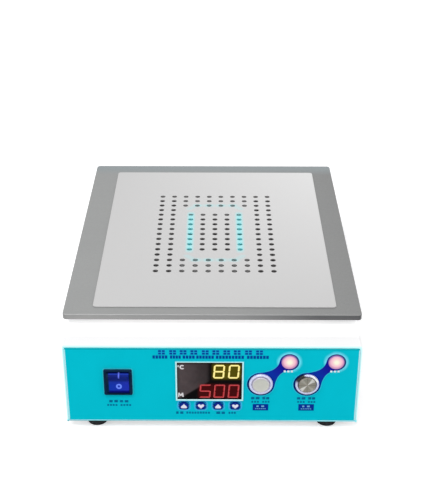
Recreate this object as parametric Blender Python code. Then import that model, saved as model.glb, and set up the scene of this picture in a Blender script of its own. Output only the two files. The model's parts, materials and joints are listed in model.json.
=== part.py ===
"""Benchtop heated vacuum platform for separating display glass from its frame.

Metres, +Z up, the control panel faces -Y. The origin is the centre of the bounding box, at the
underside of the feet. Depths along Y are first given from the control panel's front face and
moved to the origin by back().
"""

import math

import bmesh
import bpy
from mathutils import Vector

# Stock and clearances
SEAT_GAP = 0.0003
RUNNING_GAP = 0.0004
SHEET = 0.0012
BEND_RADIUS = 0.0006

# Control panel, glued to the tray's front wall with a margin of wall round it
PANEL_WIDTH = 0.270
PANEL_HEIGHT = 0.0813
PANEL_THICKNESS = 0.0012
PANEL_CORNER = 0.0010
PANEL_SIDE_MARGIN = 0.0020
PANEL_LOWER_MARGIN = 0.0026
PANEL_UPPER_MARGIN = 0.0015

# Spaces before the switch, display and buttons and after the lamp, scaled to what is free
PANEL_SPACES = (0.0351, 0.0398, 0.0048, 0.0208, 0.0138)

# Case: a U-shaped base tray under an inverted U cover
FOOT_HEIGHT = 0.0067
CASE_DEPTH = 0.370
TRAY_LIP = 0.010
TRAY_FLANGE = 0.016
FLANGE_RELIEF = 0.005

# Heated platform
PLATE_OVERHANG = 0.003
PLATE_SETBACK = 0.0345
PLATE_THICKNESS = 0.006
PLATE_AIR_GAP = 0.0066
PLATE_CORNER = 0.0035
PLATE_CHAMFER = 0.0006
MAT_THICKNESS = 0.0009
MAT_SIDE_MARGIN = 0.0250
MAT_FRONT_MARGIN = 0.0125
MAT_REAR_MARGIN = 0.0216
MAT_CORNER = 0.0030

# Suction pattern: a frame of holes round an inner block. It sits off the platform's middle, with the mat.
PATTERN_SHIFT = (0.0022, -0.0040)
PITCH_X = 0.01314
PITCH_Y = 0.01136
ROWS = 16
COLUMNS = 10
BAND_ROWS = 3
BAND_COLUMNS = 2
INNER_COLUMNS = 5
HOLE_DIAMETER = 0.0052
HOLE_SIDES = 6
GROOVE_WIDTH = 0.0044
CROSS_GROOVE_WIDTH = 0.0040
GROOVE_DEPTH = 0.0030
PORT_DIAMETER = 0.0050
PORT_COLUMNS = (-2, 0, 2)

# Under the platform
HEATER_SIDE_MARGIN = 0.0320
HEATER_END_MARGIN = 0.0190
HEATER_THICKNESS = 0.0012
WINDOW_WIDTH = 0.150
WINDOW_DEPTH = 0.070
MANIFOLD_WIDTH = 0.080
MANIFOLD_DEPTH = 0.050
MANIFOLD_HEIGHT = 0.008
MANIFOLD_WALL = 0.0020
SPACER_SIDE_INSET = 0.0200
SPACER_END_INSET = 0.0240
SPACER_DIAMETER = 0.016
SENSOR_X = -0.056
SENSOR_SIZE = (0.0100, 0.0160, 0.0030)
SENSOR_SLEEVE = 0.0036
CUTOUT_X = 0.058
CUTOUT_DIAMETER = 0.0160
CUTOUT_HEIGHT = 0.0055
CUTOUT_BLADE_X = 0.0040

# Screws and feet
PLATE_SCREW = 0.0040
FOOT_SCREW = 0.0040
COVER_SCREW = 0.0030
SCREW_HEAD_RATIO = 1.9
SCREW_HEAD_HEIGHT = 0.0019
COVER_SCREW_REACH = 0.0030
FOOT_TOP_DIAMETER = 0.0200
FOOT_BOTTOM_DIAMETER = 0.0182
FOOT_SIDE_INSET = 0.0275
FOOT_END_INSET = 0.0128
FOOT_POCKET = 0.0030
CLINCH_DIAMETER = 0.0080
CLINCH_HEIGHT = 0.0030
COVER_SCREW_RISE = 0.0090
COVER_SCREW_INSET = 0.038

# Rocker switch, measured from the panel's lower edge
SWITCH_RISE = 0.0449
SWITCH_BEZEL = (0.0262, 0.0281)
SWITCH_BEZEL_CORNER = 0.0012
SWITCH_BODY = (0.0224, 0.0256)
SWITCH_PROUD = 0.0020
SWITCH_DEPTH = 0.0220
SWITCH_BLADE_PITCH = (0.0060, 0.0080)
BLADE_SIZE = (0.0008, 0.0048)
BLADE_LENGTH = 0.0080
ROCKER_WIDTH = 0.0204
ROCKER_RADIUS = 0.0118
ROCKER_PIVOT = 0.0020
ROCKER_FACE = 0.0040
ROCKER_DIP = 0.0014
ROCKER_TILT = 10.0

# Push buttons, measured from the panel's lower edge, and their lamps
BUTTON_RISE = 0.0431
BUTTON_BEZEL = 0.0220
BUTTON_BUSH = 0.0190
BUTTON_CAP = 0.0162
BUTTON_BEZEL_PROUD = 0.0020
BUTTON_CAP_PROUD = 0.0030
BUTTON_TRAVEL = 0.0015
BUTTON_DISH = 0.0005
BUTTON_DEPTH = 0.0200
BUTTON_FLOOR = 0.0040
BUTTON_NUT = 0.0240
BUTTON_NUT_THICKNESS = 0.0025
LAMP_OFFSET = (0.0257, 0.0245)
LAMP_FLANGE = 0.0148
LAMP_STEM = 0.0120
LAMP_DOME = 0.0024
LAMP_DEPTH = 0.0180
LAMP_LEAD = 0.0050

# Display, measured from the panel's lower edge, and what lies round its centre
DISPLAY_RISE = 0.0459
DISPLAY_WINDOW = (0.0600, 0.0416)
DISPLAY_BEZEL = 0.0017
DISPLAY_BEZEL_THICKNESS = 0.0007
DISPLAY_BEZEL_CORNER = 0.0008
WINDOW_FLANGE = 0.0015
WINDOW_FLANGE_THICKNESS = 0.0010
MODULE_SIZE = (0.0420, 0.0190, 0.0080)
MODULE_SHIFT = 0.0090
MODULE_LIFTS = {"temperature": 0.0104, "time": -0.0116}
BOARD_LEFT = 0.0385
BOARD_RIGHT = 0.0345
BOARD_BELOW = 0.0373
BOARD_ABOVE = 0.0302
BOARD_THICKNESS = 0.0016
STUD_INSET = 0.0035
STUD_DIAMETER = 0.0042
CONNECTOR_DEPTH = 0.0060
CONNECTOR_HEIGHT = 0.0075
KEY_PITCH = 0.0160
KEY_DROP = 0.0285
KEY_SIZE = (0.0090, 0.0072)
KEY_CORNER = 0.0028
KEY_CORNER_STEPS = 1
KEY_PROUD = 0.0009
KEY_TRAVEL = 0.0006
KEY_FLANGE = 0.0008
KEY_FLANGE_THICKNESS = 0.0010
KEY_STEM = 0.0020
KEY_STEM_INSET = 0.0022
TACT_BODY = 0.0060
TACT_HEIGHT = 0.0035
TACT_STEM = 0.0035
KEY_NAMES = ("temperature_up", "temperature_down", "time_up", "time_down")

# Mains inlet and vents, measured from the case's sides and underside
INLET_INSET = 0.0490
INLET_RISE = 0.0330
INLET_BODY = (0.0270, 0.0310)
INLET_FLANGE = (0.0310, 0.0350)
INLET_CORNER = 0.0020
INLET_PROUD = 0.0020
INLET_DEPTH = 0.0240
SOCKET_SIZE = (0.0244, 0.0166)
SOCKET_DEPTH = 0.0160
SOCKET_LIFT = 0.0055
SOCKET_CHAMFER = 0.0045
PIN_SIZE = (0.0020, 0.0040)
PIN_LENGTH = 0.0130
PIN_SPREAD = 0.0070
PIN_STAGGER = 0.0020
FUSE_SIZE = (0.0220, 0.0072)
FUSE_DEPTH = 0.0200
FUSE_DROP = 0.0098
FUSE_WALL = 0.0020
VENT_WIDTH = 0.0030
VENT_PITCH = 0.0080
REAR_VENT_COUNT = 12
REAR_VENT_INSET = 0.0970
REAR_VENT_HEIGHT = 0.030
REAR_VENT_RISE = 0.048
SIDE_VENT_COUNT = 10
SIDE_VENT_HEIGHT = 0.025
SIDE_VENT_RISE = 0.053

# Inside the case
PUMP_SIDE_INSET = 0.0970
PUMP_CLEARANCE = 0.0050
PUMP_HEAD = (0.0300, 0.0340, 0.0340)
PUMP_HEAD_CORNER = 0.0030
PUMP_MOTOR_DIAMETER = 0.0300
PUMP_MOTOR_LENGTH = 0.0460
PUMP_BOSS_LENGTH = 0.0020
VALVE_COVER = 0.0260
CRADLE_FLOOR = 0.0022
CRADLE_WALL = 0.0045
CRADLE_END = 0.0070
NOZZLE_PITCH = 0.0140
NOZZLE_DIAMETER = 0.0048
NOZZLE_BORE = 0.0026
NOZZLE_LENGTH = 0.0130
HOSE_DIAMETER = 0.0080
HOSE_BORE = 0.0054
HOSE_GRIP = 0.0100
SUPPLY_SIDE_INSET = 0.0170
SUPPLY_REAR_INSET = 0.0495
SUPPLY_SIZE = (0.1000, 0.0640, 0.0330)
SUPPLY_CORNER = 0.0015
SUPPLY_LEDGE = 0.0180
SUPPLY_LEDGE_HEIGHT = 0.0115
SUPPLY_SLOT = (0.0450, 0.0030, 0.0015)
SUPPLY_SLOTS = 5
SUPPLY_SLOT_PITCH = 0.0100
TERMINAL_BLOCK = (0.0108, 0.0540, 0.0130)
TERMINAL_BAY = (0.0072, 0.0072, 0.0065)
TERMINAL_COUNT = 5
CONTROL_BOARD_INSET = (0.0180, 0.0625)
CONTROL_BOARD = (0.1100, 0.0800)
POST_HEIGHT = 0.0080
POST_DIAMETER = 0.0060
POST_PIN = 0.0026
POST_TIP = 0.0032
POST_INSET = 0.0050
RELAY = (0.0190, 0.0150, 0.0150)
RELAY_PLACES = ((-0.0350, 0.0220), (-0.0100, 0.0220))
TRANSFORMER = (0.0280, 0.0240, 0.0220)
TRANSFORMER_PLACE = (0.0300, 0.0160)
TERMINAL_STRIP = (0.0500, 0.0100, 0.0110)
TERMINAL_STRIP_PLACE = (0.0200, -0.0300)
CAPACITOR_DIAMETER = 0.0100
CAPACITOR_HEIGHT = 0.0160
CAPACITOR_PLACES = ((-0.0200, -0.0040), (-0.0040, -0.0040))
RIBBON_SOCKET_PLACE = (-0.0400, -0.0300)
RIBBON_SOCKET_HEIGHT = 0.0080
RIBBON_WIDTH = 0.0120
RIBBON_THICKNESS = 0.0010
RIBBON_SOCKET_WALL = 0.0020
RIBBON_SWAY = (0.0200, 0.0300)
HEAT_SINK = (0.0400, 0.0120, 0.0280)
HEAT_SINK_PLACE = (0.0280, -0.0100)
HEAT_SINK_BASE = 0.0040
HEAT_SINK_FINS = 7

ROUND_SIDES = 16
SCREW_SIDES = 8
HOSE_STEPS = 9
RIBBON_STEPS = 8
SMOOTH_ANGLE = 35.0

# Heights
CASE_HEIGHT = PANEL_LOWER_MARGIN + PANEL_HEIGHT + PANEL_UPPER_MARGIN
TRAY_Z = FOOT_HEIGHT + SEAT_GAP
TRAY_FLOOR = TRAY_Z + SHEET
DECK_Z = TRAY_Z + CASE_HEIGHT
DECK_UNDER = DECK_Z - SHEET
TRAY_TOP = DECK_UNDER - SEAT_GAP
PLATE_Z = DECK_Z + PLATE_AIR_GAP
PLATE_TOP = PLATE_Z + PLATE_THICKNESS
MAT_Z = PLATE_TOP + SEAT_GAP
PANEL_Z = TRAY_Z + PANEL_LOWER_MARGIN

# Widths
COVER_HALF = PANEL_WIDTH / 2 + PANEL_SIDE_MARGIN
TRAY_HALF = COVER_HALF - SHEET - SEAT_GAP
PLATE_WIDTH = 2 * (COVER_HALF + PLATE_OVERHANG)
MAT_WIDTH = PLATE_WIDTH - 2 * MAT_SIDE_MARGIN

# Depths from the control panel's front face
WALL_FRONT = PANEL_THICKNESS + SEAT_GAP
WALL_BACK = WALL_FRONT + SHEET
REAR_FACE = WALL_FRONT + CASE_DEPTH
CASE_MIDDLE = WALL_FRONT + CASE_DEPTH / 2
PLATE_FRONT = WALL_FRONT + PLATE_SETBACK
PLATE_REAR = REAR_FACE + PLATE_OVERHANG
PLATE_DEPTH = PLATE_REAR - PLATE_FRONT
PLATE_MIDDLE = (PLATE_REAR + PLATE_FRONT) / 2
MAT_DEPTH = PLATE_DEPTH - MAT_FRONT_MARGIN - MAT_REAR_MARGIN
MAT_MIDDLE = PLATE_FRONT + MAT_FRONT_MARGIN + MAT_DEPTH / 2
WINDOW_BACK = WALL_BACK + SEAT_GAP + WINDOW_FLANGE_THICKNESS
BOARD_FRONT = WINDOW_BACK + 2 * SEAT_GAP + MODULE_SIZE[2]
BOARD_BACK = BOARD_FRONT + BOARD_THICKNESS

# Places on the control panel and the rear wall, as (x, height)
DISPLAY_WIDTH = DISPLAY_WINDOW[0] + 2 * DISPLAY_BEZEL
LAMP_REACH = LAMP_OFFSET[0] + (LAMP_FLANGE - BUTTON_BEZEL) / 2
PANEL_WIDTHS = (SWITCH_BEZEL[0], DISPLAY_WIDTH, BUTTON_BEZEL, BUTTON_BEZEL, LAMP_REACH)
SPACE = (PANEL_WIDTH - sum(PANEL_WIDTHS)) / sum(PANEL_SPACES)
SWITCH_X = SPACE * PANEL_SPACES[0] + (SWITCH_BEZEL[0] - PANEL_WIDTH) / 2
DISPLAY_X = SWITCH_X + SPACE * PANEL_SPACES[1] + (SWITCH_BEZEL[0] + DISPLAY_WIDTH) / 2
HEAT_X = DISPLAY_X + SPACE * PANEL_SPACES[2] + (DISPLAY_WIDTH + BUTTON_BEZEL) / 2
VACUUM_X = HEAT_X + SPACE * PANEL_SPACES[3] + BUTTON_BEZEL
SWITCH_CENTRE = (SWITCH_X, PANEL_Z + SWITCH_RISE)
DISPLAY_CENTRE = (DISPLAY_X, PANEL_Z + DISPLAY_RISE)
BUTTON_CENTRES = {
    "heat": (HEAT_X, PANEL_Z + BUTTON_RISE),
    "vacuum": (VACUUM_X, PANEL_Z + BUTTON_RISE),
}
INLET_CENTRE = (INLET_INSET - COVER_HALF, TRAY_Z + INLET_RISE)

# Places on the case's floor, as (x, depth)
SUPPLY_CENTRE = (
    SUPPLY_SIDE_INSET - COVER_HALF + SUPPLY_SIZE[0] / 2,
    REAR_FACE - SUPPLY_REAR_INSET - SUPPLY_SIZE[1] / 2,
)
PUMP_HALF = PUMP_MOTOR_DIAMETER / 2 + SEAT_GAP + CRADLE_WALL
PUMP_CENTRE = (
    COVER_HALF - PUMP_SIDE_INSET,
    SUPPLY_CENTRE[1] - SUPPLY_SIZE[1] / 2 - PUMP_CLEARANCE - PUMP_HALF,
)
CONTROL_BOARD_CENTRE = (
    COVER_HALF - CONTROL_BOARD_INSET[0] - CONTROL_BOARD[0] / 2,
    WALL_BACK + CONTROL_BOARD_INSET[1] + CONTROL_BOARD[1] / 2,
)

# The rocker's raised corner is the foremost point, and the platform's rear edge the rearmost.
ROCKER_CORNER = math.degrees(math.asin((ROCKER_FACE + ROCKER_PIVOT) / ROCKER_RADIUS))
ROCKER_REACH = (
    ROCKER_RADIUS * math.sin(math.radians(ROCKER_CORNER + ROCKER_TILT)) - ROCKER_PIVOT
)
ORIGIN_DEPTH = (PLATE_REAR - ROCKER_REACH) / 2


def back(depth):
    """Y of a point this far behind the control panel's front face."""
    return depth - ORIGIN_DEPTH


def clear_scene():
    for old in list(bpy.data.objects):
        bpy.data.objects.remove(old)


def paint(name, colour, roughness, metallic=0.0, alpha=1.0):
    """A Principled material of this linear colour."""
    material = bpy.data.materials.new(name)
    material.use_nodes = True
    shader = material.node_tree.nodes["Principled BSDF"]
    shader.inputs["Base Color"].default_value = (*colour, 1.0)
    shader.inputs["Roughness"].default_value = roughness
    shader.inputs["Metallic"].default_value = metallic
    shader.inputs["Alpha"].default_value = alpha
    material.diffuse_color = (*colour, alpha)
    return material


# Outlines are lists of (u, v), taken round once.


def rectangle(width, height, centre=(0.0, 0.0)):
    u, v = centre
    return [
        (u - width / 2, v - height / 2),
        (u + width / 2, v - height / 2),
        (u + width / 2, v + height / 2),
        (u - width / 2, v + height / 2),
    ]


def arc(centre, radius, start, end, steps):
    """Points on a circle from start to end, in degrees."""
    u, v = centre
    angles = [math.radians(start + (end - start) * k / steps) for k in range(steps + 1)]
    return [(u + radius * math.cos(a), v + radius * math.sin(a)) for a in angles]


def rounded_rectangle(width, height, radius, centre=(0.0, 0.0), steps=4):
    u, v = centre
    du = width / 2 - radius
    dv = height / 2 - radius
    corners = ((du, dv, 0), (-du, dv, 90), (-du, -dv, 180), (du, -dv, 270))
    points = []
    for cu, cv, start in corners:
        points += arc((u + cu, v + cv), radius, start, start + 90, steps)
    return points


def circle(diameter, centre=(0.0, 0.0), sides=ROUND_SIDES):
    turn = 180 / sides
    return arc(centre, diameter / 2, turn, 360 + turn, sides)[:-1]


def sheet_outline(path, thickness=SHEET, inner_radius=BEND_RADIUS, steps=3):
    """Outline of a folded sheet. The path follows its outer face, and every fold is a right
    angle to the left."""
    outer = [Vector(path[0])]
    inner = []
    first = (Vector(path[1]) - Vector(path[0])).normalized()
    inner.append(outer[0] + thickness * Vector((-first.y, first.x)))
    for before, corner, after in zip(path, path[1:], path[2:]):
        come = (Vector(corner) - Vector(before)).normalized()
        leave = (Vector(after) - Vector(corner)).normalized()
        reach = inner_radius + thickness
        centre = Vector(corner) - come * reach + leave * reach
        for k in range(steps + 1):
            turn = math.radians(90 * k / steps)
            way = come * math.sin(turn) - leave * math.cos(turn)
            outer.append(centre + way * reach)
            inner.append(centre + way * inner_radius)
    last = (Vector(path[-1]) - Vector(path[-2])).normalized()
    outer.append(Vector(path[-1]))
    inner.append(outer[-1] + thickness * Vector((-last.y, last.x)))
    return [tuple(p) for p in outer + inner[::-1]]


def lift(outline, level, axis):
    """The outline as points in space, at this level along the axis."""
    if axis == "Z":
        return [(u, v, level) for u, v in outline]
    if axis == "Y":
        return [(u, level, v) for u, v in outline]
    return [(level, u, v) for u, v in outline]


# Solids


def add_object(name, mesh, material=None, smooth=False):
    if smooth:
        mesh.shade_smooth()
        mesh.set_sharp_from_angle(angle=math.radians(SMOOTH_ANGLE))
    if material:
        mesh.materials.append(material)
    obj = bpy.data.objects.new(name, mesh)
    bpy.context.scene.collection.objects.link(obj)
    return obj


def skin(bm, loops, endless=False):
    """Walls between one loop of points and the next, with a cap on each end."""
    rings = [[bm.verts.new(point) for point in loop] for loop in loops]
    pairs = list(zip(rings, rings[1:]))
    if endless:
        pairs.append((rings[-1], rings[0]))
    else:
        bm.faces.new(rings[0])
        bm.faces.new(rings[-1])
    for low, high in pairs:
        for k in range(len(low)):
            after = (k + 1) % len(low)
            bm.faces.new((low[k], low[after], high[after], high[k]))


def loft(name, bodies, material=None, smooth=False, endless=False):
    """One object of closed bodies, each skinned over its own list of loops."""
    bm = bmesh.new()
    for loops in bodies:
        skin(bm, loops, endless)
    bmesh.ops.recalc_face_normals(bm, faces=bm.faces)
    mesh = bpy.data.meshes.new(name)
    bm.to_mesh(mesh)
    bm.free()
    return add_object(name, mesh, material, smooth)


def prism(name, outline, low, high, axis="Z", material=None, smooth=False):
    return loft(name, [[lift(outline, low, axis), lift(outline, high, axis)]], material, smooth)


def prisms(name, outlines, low, high, axis="Z"):
    """One object of several straight prisms that don't touch, used as a cutter."""
    return loft(name, [[lift(o, low, axis), lift(o, high, axis)] for o in outlines])


def slab(name, outline_of, low, high, chamfer, axis="Z", material=None, smooth=False):
    """A prism with its end edges chamfered. outline_of gives the outline, drawn in by a margin."""
    levels = ((low, chamfer), (low + chamfer, 0.0), (high - chamfer, 0.0), (high, chamfer))
    loops = [lift(outline_of(margin), level, axis) for level, margin in levels]
    return loft(name, [loops], material, smooth)


def turned(name, profile, centre, axis="Z", material=None, sides=ROUND_SIDES, bored=False):
    """A turned piece. The profile is (diameter, level) along the axis, and a bored one's profile
    runs all the way round the section of its wall."""
    loops = [lift(circle(d, centre, sides), level, axis) for d, level in profile]
    return loft(name, [loops], material, smooth=True, endless=bored)


def helper(obj):
    """Marks an object that only cuts or joins another."""
    obj.hide_render = True
    obj.display_type = "WIRE"
    return obj


def combine(target, other, operation):
    modifier = target.modifiers.new(operation.lower(), "BOOLEAN")
    modifier.operation = operation
    modifier.solver = "EXACT"
    modifier.object = helper(other)
    return target


def cut(target, cutter):
    return combine(target, cutter, "DIFFERENCE")


def fuse(target, addition):
    return combine(target, addition, "UNION")


# Where things stand


def suction_points():
    """The holes' (x, y) from the centre of the pattern."""
    frame = [k - (COLUMNS - 1) / 2 for k in range(COLUMNS)]
    sides = frame[:BAND_COLUMNS] + frame[-BAND_COLUMNS:]
    inner = [k - (INNER_COLUMNS - 1) / 2 for k in range(INNER_COLUMNS)]
    points = []
    for row in range(ROWS):
        from_edge = min(row, ROWS - 1 - row)
        if from_edge < BAND_ROWS:
            columns = frame
        elif from_edge == BAND_ROWS:
            columns = sides
        else:
            columns = sides + inner
        y = (row - (ROWS - 1) / 2) * PITCH_Y
        points += [(column * PITCH_X, y) for column in columns]
    return points


def pattern_centre():
    return (PATTERN_SHIFT[0], back(PLATE_MIDDLE) + PATTERN_SHIFT[1])


def spacer_places():
    x = PLATE_WIDTH / 2 - SPACER_SIDE_INSET
    depths = (PLATE_FRONT + SPACER_END_INSET, PLATE_REAR - SPACER_END_INSET)
    return [(side * x, back(depth)) for depth in depths for side in (-1, 1)]


def foot_places():
    x = COVER_HALF - FOOT_SIDE_INSET
    depths = (WALL_FRONT + FOOT_END_INSET, REAR_FACE - FOOT_END_INSET)
    return [(side * x, back(depth)) for depth in depths for side in (-1, 1)]


def cover_screw_places():
    """(side, y) of the four screws that hold the cover to the tray's flanges."""
    depths = (WALL_FRONT + COVER_SCREW_INSET, REAR_FACE - COVER_SCREW_INSET)
    return [(side, back(depth)) for depth in depths for side in (-1, 1)]


def lamp_centre(name):
    x, z = BUTTON_CENTRES[name]
    return (x + LAMP_OFFSET[0], z + LAMP_OFFSET[1])


def key_places():
    x, z = DISPLAY_CENTRE
    first = x - KEY_PITCH * (len(KEY_NAMES) - 1) / 2
    return [(first + k * KEY_PITCH, z - KEY_DROP) for k in range(len(KEY_NAMES))]


def stud_places():
    """The (x, height) of the four studs that carry the display board."""
    x, z = DISPLAY_CENTRE
    across = (x - BOARD_LEFT + STUD_INSET, x + BOARD_RIGHT - STUD_INSET)
    up = (z - BOARD_BELOW + STUD_INSET, z + BOARD_ABOVE - STUD_INSET)
    return [(u, v) for v in up for u in across]


def post_places():
    x, depth = CONTROL_BOARD_CENTRE
    dx = CONTROL_BOARD[0] / 2 - POST_INSET
    dy = CONTROL_BOARD[1] / 2 - POST_INSET
    return [(x + sx * dx, back(depth + sy * dy)) for sy in (-1, 1) for sx in (-1, 1)]


def clear_hole(diameter):
    return diameter + 2 * SEAT_GAP


def cover_screw_holes(side):
    return [
        circle(clear_hole(COVER_SCREW), (y, TRAY_Z + COVER_SCREW_RISE), SCREW_SIDES)
        for screw_side, y in cover_screw_places()
        if screw_side == side
    ]


def vent_slots(count, height, centre):
    """Upright slots side by side about this centre."""
    u, v = centre
    first = u - VENT_PITCH * (count - 1) / 2
    return [rectangle(VENT_WIDTH, height, (first + k * VENT_PITCH, v)) for k in range(count)]


def shell_cutouts():
    """The openings that the control panel and the wall behind it share."""
    switch = tuple(size + 2 * SEAT_GAP for size in SWITCH_BODY)
    window = tuple(size + 2 * SEAT_GAP for size in DISPLAY_WINDOW)
    key = tuple(size + 2 * RUNNING_GAP for size in KEY_SIZE)
    outlines = [rectangle(*switch, SWITCH_CENTRE), rectangle(*window, DISPLAY_CENTRE)]
    for name, centre in BUTTON_CENTRES.items():
        outlines.append(circle(clear_hole(BUTTON_BUSH), centre))
        outlines.append(circle(clear_hole(LAMP_STEM), lamp_centre(name)))
    for place in key_places():
        outlines.append(rounded_rectangle(*key, KEY_CORNER, place, steps=KEY_CORNER_STEPS))
    return outlines


# Case


def make_tray(material):
    path = [
        (back(WALL_FRONT + TRAY_LIP), TRAY_TOP),
        (back(WALL_FRONT), TRAY_TOP),
        (back(WALL_FRONT), TRAY_Z),
        (back(REAR_FACE), TRAY_Z),
        (back(REAR_FACE), TRAY_TOP),
        (back(REAR_FACE - TRAY_LIP), TRAY_TOP),
    ]
    tray = prism("base_tray", sheet_outline(path), -TRAY_HALF, TRAY_HALF, "X", material)
    for side in (-1, 1):
        flange = prism(
            f"tray_flange_{side}",
            rectangle(
                CASE_DEPTH - 2 * FLANGE_RELIEF,
                TRAY_FLANGE,
                (back(CASE_MIDDLE), TRAY_Z + TRAY_FLANGE / 2),
            ),
            side * TRAY_HALF,
            side * (TRAY_HALF - SHEET),
            "X",
        )
        fuse(tray, flange)
    for k, place in enumerate(foot_places()):
        outline = circle(CLINCH_DIAMETER, place, SCREW_SIDES)
        fuse(tray, prism(f"clinch_nut_{k}", outline, TRAY_Z + SHEET / 2, TRAY_FLOOR + CLINCH_HEIGHT))
    for k, place in enumerate(post_places()):
        profile = (
            (POST_DIAMETER, TRAY_Z + SHEET / 2),
            (POST_DIAMETER, TRAY_FLOOR + POST_HEIGHT),
            (POST_PIN, TRAY_FLOOR + POST_HEIGHT),
            (POST_PIN, TRAY_FLOOR + POST_HEIGHT + POST_TIP),
        )
        fuse(tray, turned(f"board_post_{k}", profile, place, sides=HOLE_SIDES))
    for k, place in enumerate(stud_places()):
        profile = (
            (STUD_DIAMETER, back(WALL_BACK - SHEET / 2)),
            (STUD_DIAMETER, back(BOARD_FRONT - SEAT_GAP)),
            (POST_PIN, back(BOARD_FRONT - SEAT_GAP)),
            (POST_PIN, back(BOARD_FRONT + POST_TIP)),
        )
        fuse(tray, turned(f"display_stud_{k}", profile, place, "Y", sides=HOLE_SIDES))
    cut(tray, prisms("tray_front_openings", shell_cutouts(), back(0), back(WALL_BACK + SHEET), "Y"))
    inlet = rectangle(*(size + 2 * SEAT_GAP for size in INLET_BODY), INLET_CENTRE)
    centre = (COVER_HALF - REAR_VENT_INSET, TRAY_Z + REAR_VENT_RISE)
    openings = [inlet, *vent_slots(REAR_VENT_COUNT, REAR_VENT_HEIGHT, centre)]
    low, high = back(REAR_FACE - 2 * SHEET), back(REAR_FACE + SHEET)
    cut(tray, prisms("tray_rear_openings", openings, low, high, "Y"))
    foot_holes = [circle(clear_hole(FOOT_SCREW), place, SCREW_SIDES) for place in foot_places()]
    cut(tray, prisms("tray_foot_holes", foot_holes, 0.0, TRAY_FLOOR + 2 * CLINCH_HEIGHT))
    for side in (-1, 1):
        holes = cover_screw_holes(side)
        low, high = sorted((side * (TRAY_HALF - 2 * SHEET), side * (TRAY_HALF + SHEET)))
        cut(tray, prisms(f"tray_flange_holes_{side}", holes, low, high, "X"))
    return tray


def make_cover(material):
    path = [
        (COVER_HALF, TRAY_Z),
        (COVER_HALF, DECK_Z),
        (-COVER_HALF, DECK_Z),
        (-COVER_HALF, TRAY_Z),
    ]
    cover = prism("top_cover", sheet_outline(path), back(WALL_FRONT), back(REAR_FACE), "Y", material)
    openings = [rectangle(WINDOW_WIDTH, WINDOW_DEPTH, (0.0, back(PLATE_MIDDLE)))]
    openings += [circle(clear_hole(PLATE_SCREW), place, SCREW_SIDES) for place in spacer_places()]
    cut(cover, prisms("deck_openings", openings, DECK_UNDER - SHEET, DECK_Z + SHEET))
    centre = (back(CASE_MIDDLE), TRAY_Z + SIDE_VENT_RISE)
    for side in (-1, 1):
        holes = cover_screw_holes(side) + vent_slots(SIDE_VENT_COUNT, SIDE_VENT_HEIGHT, centre)
        low, high = sorted((side * (COVER_HALF - 2 * SHEET), side * (COVER_HALF + SHEET)))
        cut(cover, prisms(f"cover_side_openings_{side}", holes, low, high, "X"))
    return cover


def make_panel(material):
    centre = (0.0, PANEL_Z + PANEL_HEIGHT / 2)
    outline = rounded_rectangle(PANEL_WIDTH, PANEL_HEIGHT, PANEL_CORNER, centre, steps=2)
    panel = prism("front_panel", outline, back(0), back(PANEL_THICKNESS), "Y", material)
    return cut(panel, prisms("panel_openings", shell_cutouts(), back(-SHEET), back(WALL_FRONT), "Y"))


def make_feet(rubber, steel):
    for k, place in enumerate(foot_places(), start=1):
        pocket = clear_hole(FOOT_SCREW * SCREW_HEAD_RATIO)
        profile = (
            (FOOT_BOTTOM_DIAMETER, 0.0),
            (FOOT_TOP_DIAMETER, FOOT_HEIGHT),
            (clear_hole(FOOT_SCREW), FOOT_HEIGHT),
            (clear_hole(FOOT_SCREW), FOOT_POCKET),
            (pocket, FOOT_POCKET),
            (pocket, 0.0),
        )
        turned(f"foot_{k}", profile, place, material=rubber, bored=True)
        seat = FOOT_POCKET - SEAT_GAP
        length = TRAY_FLOOR + CLINCH_HEIGHT - seat
        make_screw(f"foot_screw_{k}", FOOT_SCREW, place, seat, length, "Z", 1, steel)


def make_screw(name, diameter, place, seat, length, axis, way, material):
    """A pan-head screw. Its head's underside is at seat, and its shank runs from there along way."""
    head = diameter * SCREW_HEAD_RATIO
    levels = (
        (head * 0.6, -SCREW_HEAD_HEIGHT),
        (head, -SCREW_HEAD_HEIGHT * 0.5),
        (head, 0.0),
        (diameter, 0.0),
        (diameter, length),
    )
    profile = [(d, seat + way * level) for d, level in levels]
    return turned(name, profile, place, axis, material, SCREW_SIDES)


def make_cover_screws(steel):
    for k, (side, y) in enumerate(cover_screw_places(), start=1):
        seat = side * (COVER_HALF + SEAT_GAP)
        length = 2 * SHEET + 2 * SEAT_GAP + COVER_SCREW_REACH
        place = (y, TRAY_Z + COVER_SCREW_RISE)
        make_screw(f"cover_screw_{k}", COVER_SCREW, place, seat, length, "X", -side, steel)


# Platform


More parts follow.
